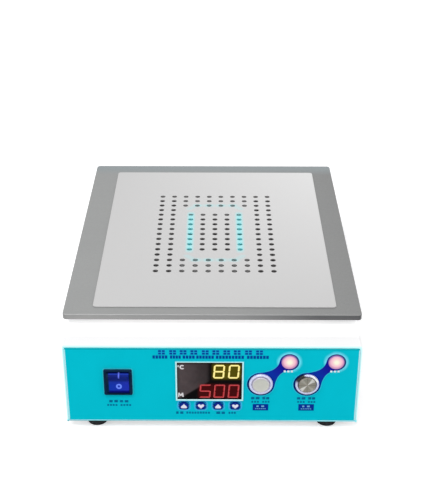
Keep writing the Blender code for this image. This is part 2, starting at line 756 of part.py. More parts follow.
def make_plate(material):
    def outline(margin):
        size = (PLATE_WIDTH - 2 * margin, PLATE_DEPTH - 2 * margin)
        return rounded_rectangle(*size, PLATE_CORNER - margin, (0.0, back(PLATE_MIDDLE)))

    plate = slab("heating_plate", outline, PLATE_Z, PLATE_TOP, PLATE_CHAMFER, material=material)
    centre_x, middle = pattern_centre()
    frame_x = (COLUMNS - 1) / 2 * PITCH_X
    frame_y = (ROWS - 1) / 2 * PITCH_Y
    inner_y = ((ROWS - 1) / 2 - BAND_ROWS - 1) * PITCH_Y
    inner_x = (INNER_COLUMNS - 1) / 2 * PITCH_X
    along = []
    for k in range(BAND_COLUMNS):
        for side in (-1, 1):
            x = centre_x + side * (frame_x - k * PITCH_X)
            along.append(rectangle(GROOVE_WIDTH, 2 * frame_y + GROOVE_WIDTH, (x, middle)))
    for k in range(INNER_COLUMNS):
        place = (centre_x + k * PITCH_X - inner_x, middle)
        along.append(rectangle(GROOVE_WIDTH, 2 * inner_y + GROOVE_WIDTH, place))
    across = [rectangle(2 * frame_x, CROSS_GROOVE_WIDTH, (centre_x, middle))]
    for k in range(BAND_ROWS):
        for end in (-1, 1):
            y = middle + end * (frame_y - k * PITCH_Y)
            across.append(rectangle(2 * frame_x + CROSS_GROOVE_WIDTH, CROSS_GROOVE_WIDTH, (centre_x, y)))
    bottom = PLATE_TOP - GROOVE_DEPTH
    cut(plate, prisms("grooves_along", along, bottom, PLATE_TOP + GROOVE_DEPTH))
    cut(plate, prisms("grooves_across", across, bottom, PLATE_TOP + GROOVE_DEPTH))
    ports = [circle(PORT_DIAMETER, (centre_x + k * PITCH_X, middle), HOLE_SIDES) for k in PORT_COLUMNS]
    cut(plate, prisms("vacuum_ports", ports, PLATE_Z - GROOVE_DEPTH, bottom + GROOVE_DEPTH / 2))
    taps = [circle(clear_hole(PLATE_SCREW), place, SCREW_SIDES) for place in spacer_places()]
    return cut(plate, prisms("plate_taps", taps, PLATE_Z - GROOVE_DEPTH, PLATE_Z + PLATE_THICKNESS * 0.7))


def make_mat(material):
    centre_x, middle = pattern_centre()
    outline = rounded_rectangle(MAT_WIDTH, MAT_DEPTH, MAT_CORNER, (centre_x, back(MAT_MIDDLE)))
    mat = prism("suction_mat", outline, MAT_Z, MAT_Z + MAT_THICKNESS, material=material)
    holes = [circle(HOLE_DIAMETER, (centre_x + x, middle + y), HOLE_SIDES) for x, y in suction_points()]
    return cut(mat, prisms("mat_holes", holes, MAT_Z - MAT_THICKNESS, MAT_Z + 2 * MAT_THICKNESS))


def make_heater(silicone, fibre):
    centre = (0.0, back(PLATE_MIDDLE))
    opening = rectangle(WINDOW_WIDTH, WINDOW_DEPTH, centre)
    width = PLATE_WIDTH - 2 * HEATER_SIDE_MARGIN
    depth = PLATE_DEPTH - 2 * HEATER_END_MARGIN
    outline = rounded_rectangle(width, depth, PLATE_CORNER, centre, steps=2)
    top = PLATE_Z - SEAT_GAP
    heater = prism("heater_mat", outline, top - HEATER_THICKNESS, top, material=silicone)
    cut(heater, prism("heater_opening", opening, DECK_Z, PLATE_TOP))
    board_top = top - HEATER_THICKNESS - SEAT_GAP
    board = prism("insulation_board", outline, DECK_Z + SEAT_GAP, board_top, material=fibre)
    cut(board, prism("insulation_opening", opening, DECK_UNDER, PLATE_TOP))


def make_spacers(bakelite, steel):
    for k, place in enumerate(spacer_places(), start=1):
        low, high = DECK_Z + SEAT_GAP, PLATE_Z - SEAT_GAP
        bore = clear_hole(PLATE_SCREW)
        profile = ((SPACER_DIAMETER, low), (SPACER_DIAMETER, high), (bore, high), (bore, low))
        turned(f"plate_spacer_{k}", profile, place, material=bakelite, bored=True)
        seat = DECK_UNDER - SEAT_GAP
        length = PLATE_Z + PLATE_THICKNESS * 0.6 - seat
        make_screw(f"plate_screw_{k}", PLATE_SCREW, place, seat, length, "Z", 1, steel)


def make_manifold(material):
    centre = (0.0, back(PLATE_MIDDLE))
    top = PLATE_Z - SEAT_GAP
    floor = top - MANIFOLD_HEIGHT
    inner_floor = floor + MANIFOLD_WALL

    def outline(margin):
        size = (MANIFOLD_WIDTH - 2 * margin, MANIFOLD_DEPTH - 2 * margin)
        return rounded_rectangle(*size, 2 * MANIFOLD_WALL - margin, centre, steps=2)

    manifold = prism("vacuum_manifold", outline(0.0), floor, top, material=material)
    barb = barb_profile(floor + MANIFOLD_WALL / 2, -1)
    fuse(manifold, turned("manifold_barb", barb, centre, sides=SCREW_SIDES))
    cut(manifold, prism("manifold_hollow", outline(MANIFOLD_WALL), inner_floor, top + MANIFOLD_WALL))
    bore = circle(NOZZLE_BORE, centre, HOLE_SIDES)
    low, high = floor - 2 * NOZZLE_LENGTH, inner_floor + MANIFOLD_WALL
    return cut(manifold, prism("manifold_bore", bore, low, high))


def barb_profile(root, way):
    """A hose barb that stands out of its root, two ridges long."""
    thin = NOZZLE_DIAMETER * 0.8
    ridges = ((thin, 0.45), (NOZZLE_DIAMETER, 0.45), (thin, 0.72), (NOZZLE_DIAMETER, 0.72))
    steps = ((thin, 0.0), *ridges, (thin * 0.9, 1.0))
    return [(d, root + way * share * NOZZLE_LENGTH) for d, share in steps]


def make_sensors(steel, bakelite):
    top = PLATE_Z - SEAT_GAP
    y = back(PLATE_MIDDLE)
    width, length, thickness = SENSOR_SIZE
    pad = rounded_rectangle(width, length, width / 5, (SENSOR_X, y), steps=2)
    probe = prism("temperature_sensor", pad, top - thickness, top, material=steel)
    sleeve = circle(SENSOR_SLEEVE, (SENSOR_X, top - thickness - SENSOR_SLEEVE * 0.45), SCREW_SIDES)
    fuse(probe, prism("sensor_sleeve", sleeve, y - length * 0.75, y + length * 0.62, "Y"))
    body = (
        (CUTOUT_DIAMETER, top),
        (CUTOUT_DIAMETER, top - CUTOUT_HEIGHT * 0.35),
        (CUTOUT_DIAMETER * 0.86, top - CUTOUT_HEIGHT * 0.35),
        (CUTOUT_DIAMETER * 0.82, top - CUTOUT_HEIGHT),
    )
    cutout = turned("thermal_cutout", body, (CUTOUT_X, y), material=bakelite)
    low, high = top - CUTOUT_HEIGHT - BLADE_LENGTH, top - CUTOUT_HEIGHT * 0.9
    for side in (-1, 1):
        blade = rectangle(*BLADE_SIZE, (CUTOUT_X + side * CUTOUT_BLADE_X, y))
        fuse(cutout, prism(f"cutout_blade_{side}", blade, low, high))


# Controls


def make_switch(plastic, rocker_plastic):
    x, z = SWITCH_CENTRE

    def bezel(margin):
        size = (SWITCH_BEZEL[0] - 2 * margin, SWITCH_BEZEL[1] - 2 * margin)
        return rounded_rectangle(*size, SWITCH_BEZEL_CORNER - margin, SWITCH_CENTRE, steps=2)

    front, seat = back(-SEAT_GAP - SWITCH_PROUD), back(-SEAT_GAP)
    body = slab("power_switch_body", bezel, front, seat, SWITCH_BEZEL_CORNER / 3, "Y", plastic)
    shell = rectangle(*SWITCH_BODY, SWITCH_CENTRE)
    fuse(body, prism("switch_shell", shell, (front + seat) / 2, back(SWITCH_DEPTH), "Y"))
    for dx in (-1, 1):
        for dz in (-1, 0, 1):
            place = (x + dx * SWITCH_BLADE_PITCH[0], z + dz * SWITCH_BLADE_PITCH[1])
            add_blade(body, f"switch_blade_{dx}_{dz}", place, SWITCH_DEPTH, 1)
    well = rectangle(ROCKER_WIDTH + 2 * RUNNING_GAP, 2 * (ROCKER_RADIUS + RUNNING_GAP), SWITCH_CENTRE)
    well_floor = back(ROCKER_PIVOT + ROCKER_RADIUS)
    cut(body, prism("rocker_well", well, back(-2 * SWITCH_PROUD), well_floor, "Y"))
    make_rocker(rocker_plastic)


def add_blade(body, name, place, depth, way):
    """A terminal blade that stands out of a body's end face, at this depth."""
    root, tip = back(depth - way * SHEET), back(depth + way * BLADE_LENGTH)
    fuse(body, prism(name, rectangle(*BLADE_SIZE, place), min(root, tip), max(root, tip), "Y"))


def make_rocker(material):
    """A shallow V in front, and ends that are arcs about the pivot, so that it turns in its well."""
    reach = ROCKER_RADIUS
    upper = arc((0.0, 0.0), reach, -24, ROCKER_CORNER, 4)
    lower = [(-u, v) for u, v in reversed(upper)]
    dip = [(0.0, ROCKER_FACE - ROCKER_DIP + ROCKER_PIVOT)]
    keel = [(-reach * 0.35, -reach * 0.62), (reach * 0.35, -reach * 0.62)]
    tilt = math.radians(ROCKER_TILT)
    outline = []
    for up, out in upper + dip + lower + keel:
        turned_up = up * math.cos(tilt) - out * math.sin(tilt)
        turned_out = up * math.sin(tilt) + out * math.cos(tilt)
        outline.append((-turned_out, turned_up))
    half = ROCKER_WIDTH / 2
    rocker = prism("power_rocker", outline, -half, half, "X", material, smooth=True)
    rocker.location = (SWITCH_CENTRE[0], back(ROCKER_PIVOT), SWITCH_CENTRE[1])
    return rocker


def make_button(name, metal, dark):
    centre = BUTTON_CENTRES[name]
    bore = BUTTON_CAP + 2 * RUNNING_GAP
    inside = back(BUTTON_DEPTH)
    profile = (
        (BUTTON_BEZEL, back(-SEAT_GAP)),
        (BUTTON_BEZEL, back(-SEAT_GAP - BUTTON_BEZEL_PROUD * 0.5)),
        (BUTTON_BEZEL - 0.0012, back(-SEAT_GAP - BUTTON_BEZEL_PROUD)),
        (bore + 0.0008, back(-SEAT_GAP - BUTTON_BEZEL_PROUD)),
        (bore, back(-SEAT_GAP - BUTTON_BEZEL_PROUD * 0.7)),
        (bore, inside - BUTTON_FLOOR),
        (bore * 0.5, inside - BUTTON_FLOOR),
        (bore * 0.5, inside),
        (BUTTON_BUSH, inside),
        (BUTTON_BUSH, back(-SEAT_GAP)),
    )
    turned(f"{name}_button_body", profile, centre, "Y", metal, bored=True)
    front = back(-BUTTON_CAP_PROUD)
    shoulder = inside - BUTTON_FLOOR - BUTTON_TRAVEL - RUNNING_GAP
    cap = (
        (bore * 0.5 - 2 * RUNNING_GAP, shoulder + BUTTON_FLOOR),
        (bore * 0.5 - 2 * RUNNING_GAP, shoulder),
        (BUTTON_CAP, shoulder),
        (BUTTON_CAP, front + BUTTON_DISH),
        (BUTTON_CAP - 2 * BUTTON_DISH, front),
        (BUTTON_CAP * 0.82, front),
        (BUTTON_CAP * 0.74, front + BUTTON_DISH / 2),
        (BUTTON_CAP * 0.30, front + BUTTON_DISH / 4),
    )
    turned(f"{name}_button_cap", cap, centre, "Y", metal)
    hexagon = circle(BUTTON_NUT / math.cos(math.pi / 6), centre, 6)
    nut_front = back(WALL_BACK + SEAT_GAP)
    nut = prism(f"{name}_button_nut", hexagon, nut_front, nut_front + BUTTON_NUT_THICKNESS, "Y", metal)
    hole = circle(clear_hole(BUTTON_BUSH), centre)
    cut(nut, prism(f"{name}_nut_bore", hole, back(0), nut_front + 2 * BUTTON_NUT_THICKNESS, "Y"))
    make_lamp(name, lamp_centre(name), dark)


def make_lamp(name, centre, material):
    """A domed pilot lamp with a snap-in stem."""
    front = back(-SEAT_GAP)
    rim = LAMP_DOME / 3
    profile = []
    for degrees in (72, 50, 28, 0):
        angle = math.radians(degrees)
        rise = rim + (LAMP_DOME - rim) * math.sin(angle)
        profile.append((LAMP_FLANGE * math.cos(angle), front - rise))
    profile += [
        (LAMP_FLANGE, front),
        (LAMP_STEM, front),
        (LAMP_STEM, back(LAMP_DEPTH)),
        (LAMP_STEM / 2, back(LAMP_DEPTH)),
        (LAMP_STEM / 2, back(LAMP_DEPTH + LAMP_LEAD)),
    ]
    return turned(f"{name}_lamp", profile, centre, "Y", material)


def make_display(smoked, pale, black, board_green):
    x, z = DISPLAY_CENTRE
    width, height = DISPLAY_WINDOW
    opening = rectangle(width, height, DISPLAY_CENTRE)
    window = prism("display_window", opening, back(0), back(WINDOW_BACK), "Y", smoked)
    flange = rectangle(width + 2 * WINDOW_FLANGE, height + 2 * WINDOW_FLANGE, DISPLAY_CENTRE)
    fuse(window, prism("window_flange", flange, back(WALL_BACK + SEAT_GAP), back(WINDOW_BACK), "Y"))

    size = (DISPLAY_WIDTH, height + 2 * DISPLAY_BEZEL)
    outline = rounded_rectangle(*size, DISPLAY_BEZEL_CORNER, DISPLAY_CENTRE, steps=2)
    front = back(-SEAT_GAP - DISPLAY_BEZEL_THICKNESS)
    bezel = prism("display_bezel", outline, front, back(-SEAT_GAP), "Y", pale)
    cut(bezel, prism("bezel_opening", opening, front - SHEET, back(SHEET), "Y"))

    width, height, depth = MODULE_SIZE
    rear = BOARD_FRONT - SEAT_GAP
    for name, lift_up in MODULE_LIFTS.items():
        module = rectangle(width, height, (x + MODULE_SHIFT, z + lift_up))
        prism(f"{name}_display", module, back(rear - depth), back(rear), "Y", black)
    make_display_board(board_green)


def make_display_board(material):
    """The board behind the window, with the keys' switches in front and a connector behind."""
    x, z = DISPLAY_CENTRE
    middle = (x + (BOARD_RIGHT - BOARD_LEFT) / 2, z + (BOARD_ABOVE - BOARD_BELOW) / 2)
    outline = rectangle(BOARD_LEFT + BOARD_RIGHT, BOARD_ABOVE + BOARD_BELOW, middle)
    board = prism("display_board", outline, back(BOARD_FRONT), back(BOARD_BACK), "Y", material)
    sunk = back((BOARD_FRONT + BOARD_BACK) / 2)
    body_front = back(BOARD_FRONT - TACT_HEIGHT)
    stem_front = back(WALL_BACK + 2 * SEAT_GAP + KEY_FLANGE_THICKNESS + KEY_STEM + KEY_TRAVEL)
    for k, place in enumerate(key_places()):
        fuse(board, prism(f"tact_body_{k}", rectangle(TACT_BODY, TACT_BODY, place), body_front, sunk, "Y"))
        stem = circle(TACT_STEM, place, HOLE_SIDES)
        fuse(board, prism(f"tact_stem_{k}", stem, stem_front, body_front + TACT_HEIGHT / 4, "Y"))
    connector = rectangle(RIBBON_WIDTH + 2 * RIBBON_SOCKET_WALL, CONNECTOR_DEPTH, DISPLAY_CENTRE)
    fuse(board, prism("display_connector", connector, sunk, back(BOARD_FRONT + CONNECTOR_HEIGHT), "Y"))
    holes = [circle(clear_hole(POST_PIN), place, SCREW_SIDES) for place in stud_places()]
    low, high = back(BOARD_FRONT - SHEET), back(BOARD_BACK + SHEET)
    cut(board, prisms("display_board_holes", holes, low, high, "Y"))


def make_keys(material):
    """Four key caps, each with a flange behind the wall and a stem that meets its switch."""
    rear = WALL_BACK + SEAT_GAP
    flange_back = rear + KEY_FLANGE_THICKNESS
    crown = KEY_PROUD / 2
    sections = (
        (-KEY_PROUD, crown),
        (-KEY_PROUD + crown, 0.0),
        (rear, 0.0),
        (rear, -KEY_FLANGE),
        (flange_back, -KEY_FLANGE),
        (flange_back, KEY_STEM_INSET),
        (flange_back + KEY_STEM, KEY_STEM_INSET),
    )
    for name, place in zip(KEY_NAMES, key_places()):
        loops = []
        for depth, margin in sections:
            size = (KEY_SIZE[0] - 2 * margin, KEY_SIZE[1] - 2 * margin)
            outline = rounded_rectangle(*size, KEY_CORNER - margin, place, steps=KEY_CORNER_STEPS)
            loops.append(lift(outline, back(depth), "Y"))
        loft(f"{name}_key", [loops], material, smooth=True)


# Rear


def make_inlet(plastic, drawer_plastic):
    """A snap-in appliance inlet over a fuse drawer that pulls out."""
    x, z = INLET_CENTRE
    seat = REAR_FACE + SEAT_GAP
    face = seat + INLET_PROUD

    def flange(margin):
        size = (INLET_FLANGE[0] - 2 * margin, INLET_FLANGE[1] - 2 * margin)
        return rounded_rectangle(*size, INLET_CORNER - margin, INLET_CENTRE, steps=2)

    inlet = slab("mains_inlet", flange, back(seat), back(face), INLET_CORNER / 5, "Y", plastic)
    shell = rectangle(*INLET_BODY, INLET_CENTRE)
    end = REAR_FACE - INLET_DEPTH
    fuse(inlet, prism("inlet_shell", shell, back(end), back((seat + face) / 2), "Y"))

    socket_z = z + SOCKET_LIFT
    socket = socket_outline(x, socket_z)
    socket_floor = face - SOCKET_DEPTH
    cut(inlet, prism("socket_hollow", socket, back(socket_floor), back(face + SHEET), "Y"))
    drawer_place = (x, z - FUSE_DROP)
    pocket = rectangle(FUSE_SIZE[0] + 2 * RUNNING_GAP, FUSE_SIZE[1] + 2 * RUNNING_GAP, drawer_place)
    pocket_floor = back(face - FUSE_DEPTH - RUNNING_GAP)
    cut(inlet, prism("fuse_pocket", pocket, pocket_floor, back(face + SHEET), "Y"))
    for k, across in enumerate((-1, 0, 1)):
        lift_up = PIN_STAGGER if across == 0 else -PIN_STAGGER
        place = (x + across * PIN_SPREAD, socket_z + lift_up)
        low, high = back(socket_floor - SHEET), back(socket_floor + PIN_LENGTH)
        fuse(inlet, prism(f"inlet_pin_{k}", rectangle(*PIN_SIZE, place), low, high, "Y"))
        add_blade(inlet, f"inlet_tab_{k}", place, end, -1)

    body = rectangle(*FUSE_SIZE, drawer_place)
    low, high = back(face - FUSE_DEPTH), back(face)
    drawer = prism("fuse_drawer", body, low, high, "Y", drawer_plastic)
    width, height = FUSE_SIZE
    trough = rectangle(width - 2 * FUSE_WALL, height, (x, drawer_place[1] + FUSE_WALL))
    cut(drawer, prism("fuse_trough", trough, low + FUSE_WALL, high - 2 * FUSE_WALL, "Y"))


def socket_outline(x, z):
    """A rectangle with its two upper corners cut off."""
    half_u, half_v = SOCKET_SIZE[0] / 2, SOCKET_SIZE[1] / 2
    return [
        (x - half_u, z - half_v),
        (x + half_u, z - half_v),
        (x + half_u, z + half_v - SOCKET_CHAMFER),
        (x + half_u - SOCKET_CHAMFER, z + half_v),
        (x - half_u + SOCKET_CHAMFER, z + half_v),
        (x - half_u, z + half_v - SOCKET_CHAMFER),
    ]


# Inside the case


def bezier(corners, steps):
    """Points along the cubic curve that these four corners steer."""
    line = []
    for k in range(steps + 1):
        t = k / steps
        weights = ((1 - t) ** 3, 3 * t * (1 - t) ** 2, 3 * t * t * (1 - t), t**3)
        line.append(sum((w * corner for w, corner in zip(weights, corners)), Vector()))
    return line


def make_pump(metal, plastic, rubber):
    """A diaphragm pump: a motor with its head at one end, lying in a rubber cradle."""
    x, depth = PUMP_CENTRE
    y = back(depth)
    length, width, height = PUMP_HEAD
    head_front, head_back = x - length / 2, x + length / 2
    motor_start = head_back + SEAT_GAP
    motor_end = motor_start + PUMP_MOTOR_LENGTH
    cradle_z = TRAY_FLOOR + SEAT_GAP
    head_z = cradle_z + CRADLE_FLOOR + SEAT_GAP
    axis_z = head_z + PUMP_MOTOR_DIAMETER / 2

    sunk = cradle_z + CRADLE_FLOOR / 2
    saddle = [(y - PUMP_HALF, sunk), (y + PUMP_HALF, sunk), (y + PUMP_HALF, axis_z)]
    saddle += arc((y, axis_z), PUMP_HALF - CRADLE_WALL, 0, -180, 10)
    saddle.append((y - PUMP_HALF, axis_z))
    floor = rectangle(motor_end - head_front, 2 * PUMP_HALF, ((motor_end + head_front) / 2, y))
    cradle = prism("pump_cradle", floor, cradle_z, cradle_z + CRADLE_FLOOR, material=rubber)
    low, high = motor_start + CRADLE_END, motor_end - CRADLE_END
    fuse(cradle, prism("cradle_saddle", saddle, low, high, "X"))

    shoulder = motor_end - PUMP_BOSS_LENGTH
    boss = PUMP_MOTOR_DIAMETER * 0.4
    motor = (
        (PUMP_MOTOR_DIAMETER, motor_start),
        (PUMP_MOTOR_DIAMETER, shoulder - PUMP_BOSS_LENGTH),
        (PUMP_MOTOR_DIAMETER * 0.86, shoulder),
        (boss, shoulder),
        (boss, motor_end),
    )
    turned("pump_motor", motor, (y, axis_z), "X", metal)

    def block(margin):
        size = (width - 2 * margin, height - 2 * margin)
        return rounded_rectangle(*size, PUMP_HEAD_CORNER - margin, (y, head_z + height / 2), steps=2)

    head = slab("pump_head", block, head_front, head_back, PUMP_HEAD_CORNER / 3, "X", plastic)
    root = head_z + height - SHEET
    for k, side in enumerate((-1, 1)):
        nozzle = barb_profile(root, 1)
        place = (x + side * NOZZLE_PITCH / 2, y)
        fuse(head, turned(f"pump_nozzle_{k}", nozzle, place, sides=SCREW_SIDES))
    cover = ((VALVE_COVER, head_front - PUMP_BOSS_LENGTH), (VALVE_COVER, head_front + PUMP_BOSS_LENGTH))
    fuse(head, turned("valve_cover", cover, (y, head_z + height / 2), "X"))
    make_hose(Vector((x - NOZZLE_PITCH / 2, y, root + NOZZLE_LENGTH)), rubber)


def make_hose(nozzle_tip, material):
    """A hollow hose from the manifold's barb down to the pump's inlet nozzle, over both barbs."""
    barb_tip = PLATE_Z - SEAT_GAP - MANIFOLD_HEIGHT + MANIFOLD_WALL / 2 - NOZZLE_LENGTH
    start = Vector((0.0, back(PLATE_MIDDLE), barb_tip))
    grip = Vector((0.0, 0.0, HOSE_GRIP))
    sway = Vector((0.0, 0.0, 0.45 * (nozzle_tip - start).length))
    line = bezier((start, start - sway, nozzle_tip + sway, nozzle_tip), HOSE_STEPS)
    line = [start + grip, *line, nozzle_tip - grip]
    side = Vector((1.0, 0.0, 0.0))
    outer, inner = [], []
    for k, point in enumerate(line):
        ahead = (line[min(k + 1, len(line) - 1)] - line[max(k - 1, 0)]).normalized()
        side = (side - ahead * side.dot(ahead)).normalized()
        other = ahead.cross(side)
        for diameter, loops in ((HOSE_DIAMETER, outer), (HOSE_BORE, inner)):
            ring = circle(diameter, sides=HOLE_SIDES)
            loops.append([tuple(point + side * u + other * v) for u, v in ring])
    return loft("vacuum_hose", [outer + inner[::-1]], material, smooth=True, endless=True)


def make_supply(metal, plastic):
    """A closed power supply with a ledge at one end for its screw terminals."""
    x, depth = SUPPLY_CENTRE
    y = back(depth)
    width, length, height = SUPPLY_SIZE
    floor = TRAY_FLOOR + SEAT_GAP
    top = floor + height
    ledge_z = floor + SUPPLY_LEDGE_HEIGHT
    ledge_x = x + width / 2 - SUPPLY_LEDGE / 2

    def outline(margin):
        size = (width - 2 * margin, length - 2 * margin)
        return rounded_rectangle(*size, SUPPLY_CORNER - margin, (x, y), steps=1)

    supply = slab("power_supply", outline, floor, top, SUPPLY_CORNER / 2, material=metal)
    ledge = rectangle(SUPPLY_LEDGE + 2 * SHEET, length + 2 * SHEET, (ledge_x + SHEET, y))
    cut(supply, prism("terminal_ledge", ledge, ledge_z, top + SHEET))
    slot_width, slot_length, slot_depth = SUPPLY_SLOT
    first = y - SUPPLY_SLOT_PITCH * (SUPPLY_SLOTS - 1) / 2
    slots = [
        rectangle(slot_width, slot_length, (x - SUPPLY_LEDGE / 2, first + k * SUPPLY_SLOT_PITCH))
        for k in range(SUPPLY_SLOTS)
    ]
    cut(supply, prisms("supply_slots", slots, top - slot_depth, top + SHEET))

    block = rectangle(TERMINAL_BLOCK[0], TERMINAL_BLOCK[1], (ledge_x, y))
    block_z = ledge_z + SEAT_GAP
    block_top = block_z + TERMINAL_BLOCK[2]
    terminals = prism("supply_terminals", block, block_z, block_top, material=plastic)
    pitch = TERMINAL_BLOCK[1] / TERMINAL_COUNT
    first = y - pitch * (TERMINAL_COUNT - 1) / 2
    bays = [
        rectangle(TERMINAL_BAY[0], TERMINAL_BAY[1], (ledge_x, first + k * pitch))
        for k in range(TERMINAL_COUNT)
    ]
    cut(terminals, prisms("terminal_bays", bays, block_top - TERMINAL_BAY[2], block_top + SHEET))


def make_control_board(board_green, metal, cable):
    x, depth = CONTROL_BOARD_CENTRE
    y = back(depth)
    low = TRAY_FLOOR + POST_HEIGHT + SEAT_GAP
    top = low + BOARD_THICKNESS
    board = prism("control_board", rectangle(*CONTROL_BOARD, (x, y)), low, top, material=board_green)

    socket_size = (RIBBON_WIDTH + 2 * RIBBON_SOCKET_WALL, CONNECTOR_DEPTH, RIBBON_SOCKET_HEIGHT)
    blocks = [(f"relay_{k}", RELAY, place) for k, place in enumerate(RELAY_PLACES)]
    blocks.append(("screw_terminals", TERMINAL_STRIP, TERMINAL_STRIP_PLACE))
    blocks.append(("small_transformer", TRANSFORMER, TRANSFORMER_PLACE))
    blocks.append(("ribbon_socket", socket_size, RIBBON_SOCKET_PLACE))
    sunk = (low + top) / 2
    for name, (width, length, height), (dx, dy) in blocks:
        fuse(board, prism(name, rectangle(width, length, (x + dx, y + dy)), sunk, top + height))
    for k, (dx, dy) in enumerate(CAPACITOR_PLACES):
        can = circle(CAPACITOR_DIAMETER, (x + dx, y + dy), SCREW_SIDES)
        fuse(board, prism(f"capacitor_{k}", can, sunk, top + CAPACITOR_HEIGHT))
    holes = [circle(clear_hole(POST_PIN), place, SCREW_SIDES) for place in post_places()]
    cut(board, prisms("control_board_holes", holes, low - SHEET, top + SHEET))

    make_heat_sink((x + HEAT_SINK_PLACE[0], y + HEAT_SINK_PLACE[1]), top + SEAT_GAP, metal)
    socket_x, socket_y = x + RIBBON_SOCKET_PLACE[0], y + RIBBON_SOCKET_PLACE[1]
    make_ribbon(Vector((socket_x, socket_y, top + RIBBON_SOCKET_HEIGHT + SEAT_GAP)), cable)


def make_heat_sink(place, floor, material):
    """A finned extrusion that stands on the control board."""
    x, y = place
    width, length, height = HEAT_SINK
    fin = width / (2 * HEAT_SINK_FINS - 1)
    outline = [(x - width / 2, floor), (x + width / 2, floor)]
    for k in range(HEAT_SINK_FINS):
        right = x + width / 2 - 2 * k * fin
        if k > 0:
            outline += [(right + fin, floor + HEAT_SINK_BASE), (right, floor + HEAT_SINK_BASE)]
        outline += [(right, floor + height), (right - fin, floor + height)]
    return prism("heat_sink", outline, y - length / 2, y + length / 2, "Y", material)


def make_ribbon(socket, material):
    """A flat cable from the back of the display board, over and down into the control board."""
    start = Vector((DISPLAY_CENTRE[0], back(BOARD_FRONT + CONNECTOR_HEIGHT) + SEAT_GAP, DISPLAY_CENTRE[1]))
    out = Vector((0.0, RIBBON_SWAY[0], 0.0))
    up = Vector((0.0, 0.0, RIBBON_SWAY[1]))
    line = bezier((start, start + out, socket + up, socket), RIBBON_STEPS)
    loops = []
    for k, point in enumerate(line):
        ahead = line[min(k + 1, RIBBON_STEPS)] - line[max(k - 1, 0)]
        across = Vector((1.0, 0.0, 0.0))
        if 0 < k < RIBBON_STEPS:
            across = Vector((ahead.y, -ahead.x, 0.0)).normalized()
        normal = across.cross(ahead).normalized()
        half_w, half_t = across * RIBBON_WIDTH / 2, normal * RIBBON_THICKNESS / 2
        corners = ((-1, -1), (1, -1), (1, 1), (-1, 1))
        loops.append([tuple(point + a * half_w + b * half_t) for a, b in corners])
    return loft("display_ribbon", [loops], material)


def main():
    clear_scene()
    white = paint("white powder coat", (0.90, 0.90, 0.90), 0.45)
    teal = paint("turquoise panel", (0.0, 0.51, 0.62), 0.35)
    aluminium = paint("bead-blasted aluminium", (0.36, 0.37, 0.37), 0.45, 1.0)
    silicone = paint("pale grey silicone", (0.62, 0.62, 0.62), 0.60)
    heater_orange = paint("heater silicone", (0.60, 0.14, 0.05), 0.60)
    fibre = paint("insulating fibre", (0.75, 0.72, 0.62), 0.85)
    bakelite = paint("bakelite", (0.08, 0.05, 0.03), 0.45)
    rubber = paint("black rubber", (0.015, 0.015, 0.015), 0.75)
    zinc = paint("zinc plated steel", (0.62, 0.62, 0.60), 0.35, 1.0)
    nickel = paint("nickel plated brass", (0.66, 0.66, 0.70), 0.20, 1.0)
    black = paint("black plastic", (0.010, 0.012, 0.015), 0.40)
    blue = paint("blue rocker plastic", (0.005, 0.03, 0.55), 0.25)
    navy = paint("navy key plastic", (0.005, 0.02, 0.20), 0.35)
    smoked = paint("smoked acrylic", (0.02, 0.018, 0.018), 0.08)
    frost = paint("pale bezel plastic", (0.70, 0.95, 0.97), 0.35)
    lamp_pink = paint("lit lamp lens", (0.95, 0.45, 0.50), 0.25)
    green = paint("circuit board", (0.01, 0.12, 0.05), 0.45)
    cable_grey = paint("ribbon cable", (0.35, 0.35, 0.36), 0.60)
    hose_clear = paint("hose", (0.55, 0.55, 0.50), 0.40)

    make_tray(white)
    make_cover(white)
    make_panel(teal)
    make_feet(rubber, zinc)
    make_cover_screws(zinc)
    make_plate(aluminium)
    make_mat(silicone)
    make_heater(heater_orange, fibre)
    make_spacers(bakelite, zinc)
    make_manifold(black)
    make_sensors(zinc, bakelite)
    make_switch(black, blue)
    for name in BUTTON_CENTRES:
        make_button(name, nickel, lamp_pink)
    make_display(smoked, frost, black, green)
    make_keys(navy)
    make_inlet(black, black)
    make_pump(zinc, black, hose_clear)
    make_supply(zinc, black)
    make_control_board(green, aluminium, cable_grey)


main()
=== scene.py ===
"""Looks of the heated vacuum platform: materials, printed graphics, studio and camera.

Metres, +Z up. The control panel faces -Y, as in the frame.
"""

import json
import math

import bmesh
import bpy
from mathutils import Matrix, Vector


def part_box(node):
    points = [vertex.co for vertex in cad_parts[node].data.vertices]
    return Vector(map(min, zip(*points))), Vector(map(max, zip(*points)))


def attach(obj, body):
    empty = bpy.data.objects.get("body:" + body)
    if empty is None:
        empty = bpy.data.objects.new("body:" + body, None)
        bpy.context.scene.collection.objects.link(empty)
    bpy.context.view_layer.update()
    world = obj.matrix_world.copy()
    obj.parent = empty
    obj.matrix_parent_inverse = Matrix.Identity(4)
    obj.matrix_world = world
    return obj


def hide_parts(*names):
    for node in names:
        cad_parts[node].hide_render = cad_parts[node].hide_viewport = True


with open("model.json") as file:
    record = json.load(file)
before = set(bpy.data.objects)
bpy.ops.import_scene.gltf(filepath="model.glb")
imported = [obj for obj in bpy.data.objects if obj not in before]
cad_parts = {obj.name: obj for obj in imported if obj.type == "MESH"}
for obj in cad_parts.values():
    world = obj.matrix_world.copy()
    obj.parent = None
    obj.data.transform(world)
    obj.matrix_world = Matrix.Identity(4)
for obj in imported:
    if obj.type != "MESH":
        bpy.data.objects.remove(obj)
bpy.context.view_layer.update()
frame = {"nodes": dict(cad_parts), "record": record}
nodes = frame["nodes"]

# Camera, solved from the photograph's edges and suction holes
CAMERA_PLACE = (0.00343, -0.99721, 0.63605)
CAMERA_PITCH = 0.49878
CAMERA_YAW = -0.00531
CAMERA_ROLL = 0.00034
CAMERA_LENS = 77.2081

